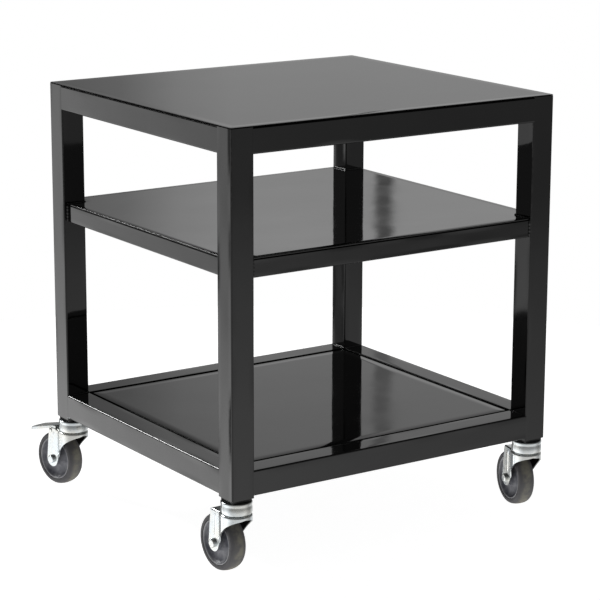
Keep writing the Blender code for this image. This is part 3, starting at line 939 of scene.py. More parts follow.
@dataclass
class Welds:
    """Weld beads round the inner faces of each leg: at the shelf, on the bottom rails, under the top."""

    finish: bpy.types.Material
    bead_radius: float = 0.0019
    tack_radius: float = 0.0016
    reach: float = 0.030
    reach_under: float = 0.024
    near: float = 0.0012

    def build(self) -> None:
        """Lays the beads of all four legs, one piece to a leg."""
        for corner in CORNERS:
            patches = self.at_shelf(corner) + self.at_foot(corner) + self.at_top(corner)
            Piece(f"welds_{corner}", patches, self.finish, Slot.PAINT, "frame").build()

    def inner_edge(self, corner: str) -> tuple[np.ndarray, np.ndarray]:
        """The corner of a leg that faces the middle of the cart.

        Args:
            corner: the leg's name.

        Returns:
            The corner's place in plan, and the signs of the way inwards along X and Y.
        """
        low, high = (np.array(end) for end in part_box(f"leg_{corner}"))
        inward = np.array([1.0 if "left" in corner else -1.0, 1.0 if "front" in corner else -1.0])
        return np.where(inward > 0, high[:2], low[:2]), inward

    def elbow(self, corner: str, level: float, reach: float) -> np.ndarray:
        """A path round the two inner faces of a leg, level all the way.

        Args:
            corner: the leg's name.
            level: its height.
            reach: how far it runs from the inner corner along each face.

        Returns:
            The path's points.
        """
        edge, inward = self.inner_edge(corner)
        run = np.linspace(reach, self.near, 9)
        first = np.column_stack([edge[0] - inward[0] * run, np.full(9, edge[1])])
        second = np.column_stack([np.full(9, edge[0]), edge[1] - inward[1] * run[::-1]])
        plan = np.vstack([first, second])
        return np.column_stack([plan, np.full(len(plan), level)])

    def upright(self, place: tuple[float, float], low: float, high: float) -> np.ndarray:
        """A path straight up at a place in plan."""
        level = np.linspace(low, high, 9)
        return np.column_stack([np.full(9, place[0]), np.full(9, place[1]), level])

    def at_shelf(self, corner: str) -> list[Patch]:
        """Beads where the shelf sheet and its rails meet a leg, over the sheet and up the rails' faces.

        Args:
            corner: the leg's name.

        Returns:
            The beads.
        """
        edge, inward = self.inner_edge(corner)
        seed = float(edge @ np.array([91.0, 57.0]))
        top = float(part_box("shelf_panel")[1].z)
        ends = {"x": "front" if "front" in corner else "back", "y": "left" if "left" in corner else "right"}
        across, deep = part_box(f"shelf_rail_{ends['x']}"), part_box(f"shelf_rail_{ends['y']}")
        face_y = float((across[0] if inward[1] > 0 else across[1]).y)
        face_x = float((deep[0] if inward[0] > 0 else deep[1]).x)
        low, high = float(across[0].z), float(across[1].z)
        shelf = bead(self.elbow(corner, top, self.reach), (0, 0, 1), self.tack_radius, seed)
        sides = [
            bead(self.upright((edge[0], face_y), low, high), (1, 0, 0), self.bead_radius, seed + 1),
            bead(self.upright((face_x, edge[1]), low, high), (1, 0, 0), self.bead_radius, seed + 2),
        ]
        under = bead(self.elbow(corner, low, self.reach_under), (0, 0, 1), self.tack_radius, seed + 3)
        return [shelf, *sides, under]

    def at_foot(self, corner: str) -> list[Patch]:
        """The bead round a leg on top of the bottom rails.

        Args:
            corner: the leg's name.

        Returns:
            The bead, alone in its list.
        """
        edge, _ = self.inner_edge(corner)
        seed = float(edge @ np.array([37.0, 83.0]))
        rail = float(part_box("bottom_rail_front")[1].z)
        return [bead(self.elbow(corner, rail, self.reach), (0, 0, 1), self.tack_radius, seed)]

    def at_top(self, corner: str) -> list[Patch]:
        """The bead in the corner under the top rails.

        Args:
            corner: the leg's name.

        Returns:
            The bead, alone in its list.
        """
        edge, _ = self.inner_edge(corner)
        seed = float(edge @ np.array([61.0, 29.0]))
        rail = float(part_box("top_rail_front")[0].z)
        return [bead(self.elbow(corner, rail, self.reach), (0, 0, 1), self.tack_radius * 0.8, seed)]


# ---------------------------------------------------------------------------------------------------
# Casters.


@dataclass
class Caster:
    """One swivel caster under a leg, with its trailing fork, wheel and, at the back, its brake."""

    corner: str
    foot: np.ndarray
    turn: float
    braked: bool
    zinc: bpy.types.Material
    rubber: bpy.types.Material
    lining: bpy.types.Material
    hub_plastic: bpy.types.Material
    plug_plastic: bpy.types.Material
    wheel_radius: float = 0.040
    tyre_width: float = 0.0244
    hub_radius: float = 0.0315
    trail: float = 0.032
    head_radius: float = 0.0215
    crown_top: float = 0.0878
    plates_from: float = 0.0200
    nose_bottom: float = 0.0832
    plate_sheet: float = 0.0020
    plate_spread: float = 0.0154
    plate_back: float = 0.0386
    boss_radius: float = 0.0115
    boss_leaves: float = math.radians(-168)
    boss_joins: float = math.radians(12)
    sweep_ahead: float = 0.02415
    sweep_drop: float = 0.0175
    sweep_past: float = 0.002
    rib: float = 0.0005
    rib_half: float = 0.0013
    rib_ahead: float = 0.0040
    rib_span: tuple = (0.050, 0.083)
    rib_run_out: float = 0.004
    bend: float = 0.0024
    stem_radius: float = 0.0050
    stem_flange: float = 0.0080
    stem_flange_height: float = 0.0024
    plain_shank: float = 0.012
    thread_depth: float = 0.00035
    thread_pitch: float = 0.0012
    sleeve_radius: float = 0.0060
    bolt_radius: float = 0.0040
    bolt_head_radius: float = 0.0062
    bolt_head: float = 0.0042
    nut_radius: float = 0.0072
    nut_height: float = 0.0050
    pedal_reach: float = 0.0860
    pedal_front: float = 0.0250
    pedal_width: float = 0.0280
    pedal_sheet: float = 0.0016
    pedal_flange: float = 0.0022
    pedal_tip: float = 0.010
    pedal_bend: float = -0.004
    ear_sheet: float = 0.0020
    shoe_half: float = 0.006
    pedal_slope: float = math.radians(14.0)
    pin_place: tuple = (0.0350, 0.0842)
    pin_radius: float = 0.0020
    pedal_rise: float = 0.0085
    gap: float = 0.0003
    clearance: float = 0.00035
    hub_play: float = 0.0009
    ear_play: float = 0.0005
    tuck: float = 0.00006

    @property
    def crown_back(self) -> float:
        """How far back the crown reaches: over the wheel, or short of the pedal where there is one."""
        return self.plates_from if self.braked else self.plate_back - 0.0010

    @property
    def axle(self) -> np.ndarray:
        """The middle of the axle, in the caster's own directions."""
        return np.array([0.0, self.trail, self.wheel_radius])

    def build(self) -> None:
        """Builds the pieces from the leg down to the floor."""
        self.build_plug()
        self.build_head()
        self.build_stem()
        self.build_fork()
        self.build_tyre()
        self.build_hub()
        self.build_axle()
        if self.braked:
            self.build_pedal()

    def finish(
        self,
        kind: str,
        patches: list[Patch],
        look: tuple[bpy.types.Material, Slot],
        body: str,
        **extra: object,
    ) -> bpy.types.Object:
        """Places patches at the caster and builds the piece.

        Args:
            kind: the piece's name without its corner.
            patches: its patches in the caster's own directions.
            look: its material and slot.
            body: the body it rides on.
            extra: the piece's other settings.

        Returns:
            The finished object.
        """
        name = f"{kind}_{self.corner}"
        placed = [patch.moved(self.turn, self.foot) for patch in patches]
        return Piece(name, placed, look[0], look[1], body, (name,), **extra).build()

    def build_plug(self) -> None:
        """The square plug: its rounded outline up the outside, its bore down the inside."""
        low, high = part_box(f"leg_insert_{self.corner}")
        size = high.x - low.x
        outline, worn = box_section(size, size, 0.0016, flat=6)
        angle = np.arctan2(outline[:, 1], outline[:, 0])
        bore = np.column_stack([np.cos(angle), np.sin(angle)]) * (self.stem_radius + self.gap)
        ease = 0.0005
        rings = [
            (bore, low.z),
            (outline * (1 - 2 * ease / size), low.z),
            (outline, low.z + ease),
            (outline, high.z - ease),
            (outline * (1 - 2 * ease / size), high.z),
            (bore, high.z),
        ]
        points = np.stack([np.column_stack([ring, np.full(len(ring), level)]) for ring, level in rings])
        wear = np.tile(worn, (len(rings), 1))
        patch = Patch(points + np.array([self.foot[0], self.foot[1], 0.0]), wear, rows_close=True)
        name = f"leg_insert_{self.corner}"
        Piece(name, [patch], self.plug_plastic, Slot.PLUG, "frame", (name,)).build()

    def build_head(self) -> None:
        """The pressed swivel head, turned: the swelling over the balls, a shallow neck and the flange."""
        low, high = (end.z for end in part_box(f"swivel_head_{self.corner}"))
        tall = high - low
        bore = self.stem_radius + self.gap
        outer = [
            (0.880, 0.000),
            (0.950, 0.050),
            (0.990, 0.150),
            (0.998, 0.260),
            (0.998, 0.380),
            (0.990, 0.520),
            (0.975, 0.640),
            (0.968, 0.720),
            (0.972, 0.770),
            (0.990, 0.800),
            (0.997, 0.850),
            (0.996, 0.930),
            (0.975, 0.985),
            (0.930, 1.000),
        ]
        rim = np.array(outer) * [self.head_radius, tall] + [0, low]
        profile = np.vstack([[(bore, low)], flowing(rim, 4), [(bore, high)]])
        flange, spread = low + 0.85 * tall, 0.0012
        wear = np.clip(1 - np.abs(profile[:, 1] - flange) / spread, 0, 1) * 0.5
        patch = turned(profile, steps=96, worn=wear)
        self.finish("swivel_head", [patch], (self.zinc, Slot.ZINC), "frame")

    def build_stem(self) -> None:
        """The stem, turned: a flange under the crown and a shank with a threaded stretch."""
        low, high = (end.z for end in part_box(f"stem_{self.corner}"))
        flange_top = low + self.stem_flange_height
        ease = 0.0006
        shank = np.linspace(flange_top + self.plain_shank, high - self.thread_pitch, 70)
        thread = self.stem_radius - self.thread_depth * (0.5 - 0.5 * np.cos(shank * TAU / self.thread_pitch))
        start = [
            (0.0, low),
            (self.stem_flange - ease, low),
            (self.stem_flange, low + ease),
            (self.stem_flange, flange_top - ease / 2),
            (self.stem_flange - ease / 2, flange_top),
            (self.stem_radius, flange_top),
        ]
        end = [(self.stem_radius - 0.001, high), (0.0, high)]
        profile = np.vstack([start, np.column_stack([thread, shank]), end])
        self.finish("stem", [turned(profile, steps=32)], (self.zinc, Slot.ZINC), "frame")

    def plan_line(self, count: int = 400) -> tuple[np.ndarray, np.ndarray]:
        """Half the plan of the fork: a quarter circle from the nose, an easing flare, a straight plate.

        Args:
            count: how many evenly spaced points are read off it.

        Returns:
            The distances along it and its points (n, 2), from the nose to the far end.
        """
        angle = np.linspace(0, math.pi / 2, 40)
        overrun = 0.012
        nose = (self.head_radius - self.tuck) * np.column_stack([np.sin(angle), -np.cos(angle)])
        flare = self.head_radius - self.plate_spread
        share = np.array([0.06, 0.18, 0.38, 0.66, 0.88, 0.98, 1.0])
        along = np.array([0.25, 0.45, 0.62, 0.76, 0.86, 0.94, 1.0]) * self.plates_from
        sides = np.column_stack([self.head_radius - flare * share, along])
        line = np.vstack([nose, sides, [(self.plate_spread, self.plate_back + overrun)]])
        run = np.concatenate([[0], np.cumsum(np.linalg.norm(np.diff(line, axis=0), axis=1))])
        fine = np.linspace(0, run[-1], count)
        return fine, np.column_stack([np.interp(fine, run, line[:, 0]), np.interp(fine, run, line[:, 1])])

    def edges_at(self, level: np.ndarray) -> tuple[np.ndarray, np.ndarray]:
        """Where the fork's side starts and ends along Y at each height.

        The front edge is a parabola from the boss up to the nose, and a circle round the boss. The back
        edge is that circle, then a straight line up to the crown.

        Args:
            level: heights.

        Returns:
            The front edge's Y and the back edge's Y.
        """
        boss_y, boss_z = self.trail, self.wheel_radius
        leaves = np.array([math.cos(self.boss_leaves), math.sin(self.boss_leaves)])
        start = np.array([boss_y, boss_z]) + self.boss_radius * leaves
        middle = np.array([boss_y - self.sweep_ahead, self.crown_top - self.sweep_drop])
        end = np.array([-self.head_radius - self.sweep_past, self.nose_bottom])
        share = np.linspace(0, 1, 200)[:, None]
        sweep = (1 - share) ** 2 * start + 2 * share * (1 - share) * middle + share**2 * end
        chord = np.sqrt(np.clip(self.boss_radius**2 - (level - boss_z) ** 2, 0, None))
        front = np.interp(level, sweep[:, 1], sweep[:, 0])
        front = np.where(level < start[1], boss_y - chord, front)
        shoulder = boss_z + self.boss_radius * math.sin(self.boss_joins)
        widest = boss_y + self.boss_radius * math.cos(self.boss_joins)
        slope = np.clip((level - shoulder) / (self.crown_top - shoulder), 0, 1)
        back = widest + (self.plate_back - widest) * slope
        back = np.where(level < shoulder, boss_y + chord, back)
        return front, back

    def side_of_fork(self, split: int, tail: int) -> tuple[np.ndarray, np.ndarray]:
        """Half the fork's outer skin, as rows down from the bend and columns from the nose back.

        Each row runs along the plan from the front edge to the back edge at its height. The top rows
        turn inwards round the bend, which fades out behind the crown, and a thin rib stands out of the strap.

        Args:
            split: columns as far as the back of the crown.
            tail: columns behind it.

        Returns:
            The points (rows, columns, 3) and how worn each is.
        """
        run, plan = self.plan_line()
        turn = np.linspace(math.pi / 2, 0, 7)
        boss_low = self.wheel_radius - self.boss_radius
        straight = self.crown_top - self.bend
        level = np.concatenate(
            [
                self.crown_top - self.bend * (1 - np.sin(turn)),
                np.linspace(straight, self.nose_bottom, 5)[1:],
                np.linspace(self.nose_bottom, self.wheel_radius, 36)[1:],
                boss_low + self.boss_radius * (1 - np.sin(np.linspace(0, math.pi / 2, 14)))[1:],
            ]
        )
        inset = np.concatenate([self.bend * (1 - np.cos(turn)), np.zeros(len(level) - len(turn))])
        front, back = self.edges_at(level)
        whole = level > self.nose_bottom - MERGE
        start = np.where(whole, 0.0, np.interp(front, plan[:, 1], run))
        end = np.interp(back, plan[:, 1], run)
        crown = np.interp(self.crown_back, plan[:, 1], run)
        share = crown / end[0]
        spread = np.concatenate([np.linspace(0, share, split + 1), np.linspace(share, 1, tail + 1)[1:]])
        place = start[:, None] + (end - start)[:, None] * spread[None, :]
        place[: len(turn)] = place[0]
        across = np.interp(place, run, plan[:, 0])
        along = np.interp(place, run, plan[:, 1])
        fade_run = 0.004
        fade = np.clip((self.crown_back + fade_run - along) / fade_run, 0, 1)
        step = 0.0002
        slope_x = np.interp(place + step, run, plan[:, 0]) - np.interp(place - step, run, plan[:, 0])
        slope_y = np.interp(place + step, run, plan[:, 1]) - np.interp(place - step, run, plan[:, 1])
        length = np.hypot(slope_x, slope_y)
        pull = inset[:, None] * np.where(along > self.crown_back, fade, 1.0)
        middle = self.trail - self.rib_ahead
        low, high = self.rib_span
        starts = np.clip((level - low) / self.rib_run_out, 0, 1)
        ends = np.clip((high - level) / self.rib_run_out, 0, 1)
        rib = self.rib * np.exp(-(((along - middle) / self.rib_half) ** 4)) * (starts * ends)[:, None]
        points = np.stack(
            [
                across - pull * slope_y / length + rib,
                along + pull * slope_x / length,
                np.broadcast_to(level[:, None], place.shape),
            ],
            axis=-1,
        )
        points[..., 0] = np.maximum(points[..., 0], 0.0)
        bent = np.arange(len(level))[:, None] < 5
        worn = np.where((spread[None, :] > 0.985) | bent, 0.35, 0.0)
        return points, np.broadcast_to(worn, place.shape)

    def build_fork(self) -> None:
        """The fork: two mirrored skins and a crown that fills in between their top rows and the stem."""
        split, tail = (34, 14) if self.braked else (46, 3)
        right, worn = self.side_of_fork(split, tail)
        left = right[:, ::-1] * np.array([-1.0, 1.0, 1.0])
        sides = [
            Patch(right[::-1], worn[::-1], columns_close=False),
            Patch(left[::-1], worn[::-1, ::-1], columns_close=False),
        ]
        rim = right[0, : split + 1]
        back = np.linspace(rim[-1], rim[-1] * [-1, 1, 1], 21)[1:-1]
        loop = np.vstack([rim, back, rim[::-1][:-1] * [-1, 1, 1]])
        angle = np.arctan2(loop[:, 1], loop[:, 0])
        hole = self.stem_radius + self.gap
        bore = np.column_stack([hole * np.cos(angle), hole * np.sin(angle), loop[:, 2]])
        share = np.linspace(0, 1, 7)[:, None, None]
        crown = Patch(bore[None] + (loop - bore)[None] * share)
        crown.points[..., 2] = self.crown_top
        # the fork's inner wall gets the painted-shade lining, dark like the shade inside the fork
        self.finish(
            "fork",
            [*sides, crown],
            (self.zinc, Slot.ZINC),
            f"fork_{self.corner}",
            shell=self.plate_sheet,
            bevel=0.0003,
            sharp=30.0,
            lining=self.lining,
        )

    def build_tyre(self) -> None:
        """The tyre, turned: rounded shoulders, a crowned tread and a low moulding line round its middle."""
        half = self.tyre_width / 2
        inner, outer = self.hub_radius, self.wheel_radius
        deep = outer - inner
        share = np.linspace(-1, 1, 61)
        angle = share * math.pi / 2
        reach = inner + deep * (0.36 + 0.64 * np.abs(np.cos(angle)) ** 0.78)
        width = half * np.sign(share) * np.abs(np.sin(angle)) ** 0.92
        line = 0.00012 * np.exp(-((share / 0.03) ** 2))
        tread = np.column_stack([np.minimum(reach + line - 0.0001, outer), width])
        side = [(inner + deep * 0.08, half * 0.985), (inner + 0.0001, half * 0.90)]
        profile = np.vstack([[(r, -x) for r, x in side[::-1]], tread, side])
        wear = np.exp(-((profile[:, 1] / (half * 0.62)) ** 4))
        patch = turned(profile, Along.X, 120, wear).shifted(self.axle)
        self.finish("tyre", [patch], (self.rubber, Slot.RUBBER), f"wheel_{self.corner}", sharp=50.0)

    def build_hub(self) -> None:
        """The hub, turned: a raised lip at the tyre, a dished web and a boss at the axle."""
        lip = self.tyre_width / 2 * 0.93
        bore = self.sleeve_radius + self.clearance
        boss = self.plate_spread - self.plate_sheet - self.hub_play
        face = [
            (self.hub_radius, lip * 0.86),
            (self.hub_radius - 0.0001, lip * 0.955),
            (self.hub_radius - 0.0007, lip),
            (self.hub_radius - 0.0016, lip * 0.985),
            (self.hub_radius - 0.0022, lip * 0.90),
            (self.hub_radius - 0.0034, lip * 0.74),
            (self.hub_radius - 0.0060, lip * 0.56),
            (self.hub_radius - 0.0100, lip * 0.47),
            (self.hub_radius - 0.0150, lip * 0.46),
            (self.sleeve_radius + 0.0072, lip * 0.52),
            (self.sleeve_radius + 0.0052, lip * 0.72),
            (self.sleeve_radius + 0.0042, boss * 0.96),
            (self.sleeve_radius + 0.0036, boss),
            (bore, boss),
        ]
        half = flowing(np.array(face), 4)
        profile = np.vstack([half, half[::-1] * [1, -1]])
        # paler along the crest of the lip
        wear = np.exp(-(((profile[:, 0] - self.hub_radius + 0.0009) / 0.0011) ** 2))
        patch = turned(profile, Along.X, 96, wear).shifted(self.axle)
        self.finish("hub", [patch], (self.hub_plastic, Slot.HUB), f"wheel_{self.corner}", sharp=60.0)

    def build_axle(self) -> None:
        """The sleeve, the bolt with its flat head and rounded rim, and the hexagon nut."""
        body = f"fork_{self.corner}"
        zinc = (self.zinc, Slot.ZINC)
        half = self.plate_spread - self.plate_sheet - self.gap
        bore = self.bolt_radius + self.clearance
        skin = self.sleeve_radius
        sleeve = np.array([(bore, -half), (skin, -half), (skin, half), (bore, half)])
        seat = -self.plate_spread - self.gap / 2
        end = self.plate_spread + self.gap + self.nut_height + 0.001
        pan = [(0.0, 1.0), (0.30, 1.0), (0.62, 0.995), (0.84, 0.95), (0.94, 0.82), (0.985, 0.60), (1.0, 0.35)]
        head = flowing(np.array(pan), 3) * [self.bolt_head_radius, -self.bolt_head] + [0, seat]
        shank = [(self.bolt_head_radius, seat), (self.bolt_radius, seat), (self.bolt_radius, end - 0.0008)]
        bolt = np.vstack([head, shank, [(self.bolt_radius - 0.0008, end), (0.0, end)]])
        for kind, profile in (("sleeve", eased(sleeve, 0.0004)), ("axle_bolt", bolt)):
            self.finish(kind, [turned(profile, Along.X, 48).shifted(self.axle)], zinc, body)
        self.finish("axle_nut", [self.nut_patch()], zinc, body, sharp=25.0)

    def nut_patch(self) -> Patch:
        """The nut: rings whose radius is that of a hexagon at each angle, cut off by a cone at both ends.

        Returns:
            The closed patch.
        """
        steps = 96
        angle = np.arange(steps) * TAU / steps
        flat = self.nut_radius * math.cos(math.pi / 6)
        hexagon = flat / np.cos((angle + math.pi / 6) % (math.pi / 3) - math.pi / 6)
        low = self.plate_spread + self.gap
        high = low + self.nut_height
        cone = 0.0007
        bore = self.bolt_radius + self.clearance
        rings = [
            (np.full(steps, bore), low),
            (np.minimum(hexagon, flat * 1.02), low),
            (hexagon, low + cone),
            (hexagon, high - cone),
            (np.minimum(hexagon, flat * 1.02), high),
            (np.full(steps, bore), high),
        ]
        rows = [np.column_stack([r * np.cos(angle), r * np.sin(angle), np.full(steps, x)]) for r, x in rings]
        return Patch(np.stack(rows)[..., list(Along.X.value)], rows_close=True).shifted(self.axle)

    def build_pedal(self) -> None:
        """The brake pedal: a bent blade with turned-down sides, two ears on the rivet, and the shoe."""
        pivot = np.array([0.0, *self.pin_place])
        half = self.pedal_width / 2
        ear = self.plate_spread - self.plate_sheet - self.ear_play
        front = self.pedal_front - self.pin_place[0]
        back = self.pedal_reach - self.pin_place[0]
        fall = math.tan(self.pedal_slope)
        bend = self.pedal_bend
        blade = self.blade_patch(front, back, bend, fall, half)
        round_pin = np.radians(180 + np.arange(7) * 30)
        lobe = 0.0034 * np.column_stack([np.cos(round_pin), np.sin(round_pin)])
        ear_top = [(0.011, self.pedal_rise - 0.0042), (-0.006, self.pedal_rise - 0.0010)]
        outline = eased(np.vstack([lobe, ear_top]), 0.0012)
        shoe_back = 0.0145
        shoe = np.array(
            [
                (shoe_back - 0.006, self.pedal_rise - 0.003),
                (shoe_back - 0.0045, -0.0030),
                (shoe_back, -0.0044),
                (shoe_back + 0.0015, self.pedal_rise - fall * (shoe_back - bend) - 0.0010),
            ]
        )
        parts = [
            blade,
            slab(outline, -ear, -ear + self.ear_sheet),
            slab(outline, ear - self.ear_sheet, ear),
            slab(eased(shoe, 0.0008), -self.shoe_half, self.shoe_half),
        ]
        placed = [part.shifted(pivot) for part in parts]
        self.finish("brake_pedal", placed, (self.zinc, Slot.ZINC), f"pedal_{self.corner}", sharp=35.0)
        seat = self.plate_spread + self.gap
        head, proud = self.pin_radius + 0.0012, 0.0011
        dome = np.linspace(0, math.pi / 2, 7)
        left = np.column_stack([head * np.sin(dome), -seat - proud * np.cos(dome)])
        left = np.vstack([left, [(self.pin_radius, -seat)]])
        rivet = turned(np.vstack([left, left[::-1] * [1, -1]]), Along.X, 32)
        self.finish("pedal_pin", [rivet.shifted(pivot)], (self.zinc, Slot.ZINC), f"fork_{self.corner}")

    def blade_patch(self, front: float, back: float, bend: float, fall: float, half: float) -> Patch:
        """The blade: its upper face, then its lower face, over a width that rounds off at the tip.

        Height follows the bent line and drops a little at both sides; the far end rounds off in plan by a
        fourth power. The lower face is the same grid, lower by the sheet, and by a flange at both sides.

        Args:
            front: where it starts along Y from the rivet.
            back: where it ends.
            bend: where it starts to slope.
            fall: how steeply it slopes.
            half: half its width.

        Returns:
            The closed patch.
        """
        tip_start = back - self.pedal_tip
        flat = np.linspace(front, bend - 0.002, 4)
        slope = np.linspace(bend - 0.001, tip_start, 26)
        end = tip_start + self.pedal_tip * np.sin(np.linspace(0, math.pi / 2, 12)[1:])
        run = np.concatenate([flat, slope, end])
        tip = np.clip((run - tip_start) / self.pedal_tip, 0, 1)
        width = half * np.sqrt(np.clip(1 - 0.985 * tip**4, 0, 1))
        bend_radius = 0.0012
        soft = np.logaddexp(0, (run - bend) / bend_radius) * bend_radius
        level = self.pedal_rise - fall * soft - 0.0010 * tip**2 - 0.0004
        side = np.linspace(-1, 1, 17)
        x = width[:, None] * side
        y = np.broadcast_to(run[:, None], x.shape)
        drop = 0.0009 * np.clip((np.abs(side) - 0.78) / 0.22, 0, 1) ** 2 + 0.0004 * side**2 - 0.0004
        upper = np.stack([x, y, level[:, None] - drop], axis=-1)
        deep = self.pedal_sheet + self.pedal_flange * np.clip((np.abs(side) - 0.84) / 0.10, 0, 1)
        lower = upper[:, ::-1].copy()
        lower[..., 2] -= deep[::-1]
        ring = np.concatenate([upper, lower], axis=1)
        first, last = (
            np.broadcast_to(row.mean(axis=1, keepdims=True), row.shape) for row in (ring[:1], ring[-1:])
        )
        rim = 0.05
        worn = np.clip((np.abs(np.concatenate([side, side[::-1]])) - 1 + rim) / rim, 0, 1)
        points = np.concatenate([first, ring, last])
        return Patch(points, np.tile(worn * 0.6, (len(points), 1)))


# ---------------------------------------------------------------------------------------------------
# The studio: floor, light and camera.


@dataclass
class Studio:
    """A pale floor, soft light from all round with darker air in front, and the camera."""

    floor_radius: float = 1.15
    floor_tone: tuple = rgb(0.62, 0.62, 0.62)
    floor_pale: tuple = rgb(0.68, 0.68, 0.68)
    floor_glow: float = 0.95
    camera_place: tuple = (-1.79224, -2.69666, 1.08185)
    heading: float = math.radians(34.020)
    tilt: float = math.radians(13.703)
    roll: float = math.radians(0.172)
    lens: float = 137.56
    sensor: float = 36.0
    lamp_towards: tuple = (-0.24, 0.80, 0.54)
    lamp_level: float = 34.0
    lamp_rim: tuple = (0.9925, 0.9955)
    stand_heading: tuple = (
        (34.0, 0.0), (35.85, 0.0), (36.0, 0.78), (36.25, 0.78), (36.45, 0.0), (38.0, 0.0),
    )
    sky_heading: tuple = (
        (-180, 0.55), (0, 0.40), (27.5, 0.42), (28.8, 0.51), (30.0, 0.60), (31.0, 0.89), (31.6, 0.97),
        (33.0, 1.03), (34.5, 1.00), (36.5, 1.03), (41.0, 1.04), (60, 0.80), (100, 0.45), (180, 0.50),
    )
    sky_height: tuple = (
        (0.00, 0.44), (0.130, 0.46), (0.162, 0.48), (0.185, 0.61), (0.200, 0.66), (0.215, 0.76),
        (0.26, 0.54), (0.31, 0.52), (0.38, 0.40), (0.55, 0.12), (0.80, 0.10), (1.00, 0.25),
    )
    ground_heading: tuple = (
        (-180, 0.8), (-60, 0.70), (-40.0, 0.60), (-38.5, 0.50), (-36.8, 0.13), (-34.4, 0.13),
        (-33.2, 0.70), (-32.0, 0.76), (-31.0, 0.82), (-29.3, 0.86), (-28.0, 1.00), (-24, 0.9),
        (-18, 0.10), (8, 0.12), (60, 0.35), (110, 0.35), (136.0, 0.70), (140.2, 0.75), (144.0, 0.82),
        (147.4, 1.00), (152.0, 0.90), (180, 0.8),
    )
    low_heading: tuple = ((-120.0, 0.7), (-62.0, 1.35), (-28.0, 1.35), (-21.0, 0.20), (-5.0, 0.0))
    back_height: tuple = (
        (-1.0, 1.8), (-0.40, 2.4), (-0.312, 2.35), (-0.296, 2.1), (-0.272, 2.0), (-0.245, 1.60),
        (-0.22, 1.50), (-0.194, 1.40), (-0.16, 1.38), (0.0, 1.2),
    )
    front_height: tuple = (
        (-1.0, 1.0), (-0.312, 1.05), (-0.296, 1.00), (-0.245, 0.78), (-0.22, 0.66), (-0.194, 0.42),
        (-0.16, 0.42), (0.0, 0.40),
    )

    def build(self) -> None:
        """Sets the floor, the light, the camera and a neutral view."""
        self.build_floor()
        self.build_light()
        self.build_camera()
        bpy.context.scene.view_settings.view_transform = "Standard"

    def build_floor(self) -> None:
        """The floor: rings of growing radius round the origin, closed by a pole, with a fine mottle."""
        radius = np.concatenate([[0.0], np.linspace(0.05, self.floor_radius, 24)])
        angle = np.arange(96) * TAU / 96
        ring = np.stack([np.cos(angle), np.sin(angle), np.zeros(96)], axis=-1)
        patch = Patch(radius[:, None, None] * ring)
        mesh = bpy.data.meshes.new("studio_floor")
        mesh.from_pydata(patch.points.reshape(-1, 3), [], patch.quads().tolist())
        floor = bpy.data.objects.new("studio_floor", mesh)
        bpy.context.scene.collection.objects.link(floor)
        material, board, shader, where = new_finish("studio_floor_paper")
        mottle = board.between(board.noise(where, 30.0, 4.0), 0.3, 0.7, 0.0, 1.0)
        board.put(board.blend(mottle, self.floor_tone, self.floor_pale), shader.inputs["Base Color"])
        shader.inputs["Roughness"].default_value = 0.9
        shader.inputs["Specular IOR Level"].default_value = 0.1
        shader.inputs["Emission Color"].default_value = rgb(1.0, 1.0, 1.0)
        shader.inputs["Emission Strength"].default_value = self.floor_glow
        mesh.materials.append(material)
        floor.visible_glossy = False

    def build_light(self) -> None:
        """Light from all round, worked out from the direction alone.

        The heading and the height of a direction each set a level, and the two are multiplied: one pair
        above the horizon and one below, where the back is brighter than the front and a low glow lies at
        the front left. A thin dark stand breaks the light at the back, and a lamp hangs high at the back
        left. The camera itself sees plain white behind.
        """
        world = bpy.data.worlds.new("studio_air")
        world.use_nodes = True
        bpy.context.scene.world = world
        board = Board(world.node_tree)
        world.node_tree.nodes.clear()
        where = board.add("ShaderNodeTexCoord").outputs["Generated"]
        split = board.add("ShaderNodeSeparateXYZ")
        board.put(where, split.inputs[0])
        height = split.outputs["Z"]
        heading = board.reckon("ARCTAN2", split.outputs["X"], split.outputs["Y"])
        degrees = board.reckon("MULTIPLY", heading, 180 / math.pi)
        sky = board.levels(degrees, self.sky_heading)
        above = board.reckon("MULTIPLY", sky, board.levels(height, self.sky_height))
        back = board.levels(height, self.back_height)
        front = board.levels(height, self.front_height)
        behind = board.between(split.outputs["Y"], -0.45, 0.45, 0.0, 1.0)
        ahead = board.reckon("MULTIPLY", front, board.reckon("SUBTRACT", 1.0, behind))
        below = board.reckon("MULTIPLY_ADD", back, behind, ahead)
        below = board.reckon("MULTIPLY", below, board.levels(degrees, self.ground_heading))
        low = board.levels(degrees, self.low_heading)
        low = board.reckon("MULTIPLY", low, board.between(height, -0.325, -0.298, 1.0, 0.0))
        below = board.reckon("MAXIMUM", below, low)
        lean = board.add("ShaderNodeVectorMath", operation="DOT_PRODUCT")
        board.put(where, lean.inputs[0])
        lean.inputs[1].default_value = Vector(self.lamp_towards).normalized()
        lamp = board.between(lean.outputs["Value"], *self.lamp_rim, 0.0, self.lamp_level)
        top = board.between(height, 0.165, 0.19, 0.0, 1.0)
        foot = board.between(height, 0.217, 0.245, 1.0, 0.6)
        span = board.reckon("MULTIPLY", top, foot)
        stand = board.reckon("MULTIPLY", board.levels(degrees, self.stand_heading), span)
        above = board.reckon("MULTIPLY_ADD", above, board.reckon("SUBTRACT", 1.0, stand), lamp)
        over = board.between(height, -0.02, 0.03, 0.0, 1.0)
        under = board.reckon("SUBTRACT", 1.0, over)
        glow = board.reckon("MULTIPLY_ADD", above, over, board.reckon("MULTIPLY", below, under))
        seen = board.add("ShaderNodeLightPath").outputs["Is Camera Ray"]
        strength = board.reckon("MULTIPLY_ADD", glow, board.reckon("SUBTRACT", 1.0, seen), seen)
        light = board.add("ShaderNodeBackground")
        light.inputs["Color"].default_value = rgb(1.0, 1.0, 1.0)
        board.put(strength, light.inputs["Strength"])
        board.put(light.outputs[0], board.add("ShaderNodeOutputWorld").inputs["Surface"])

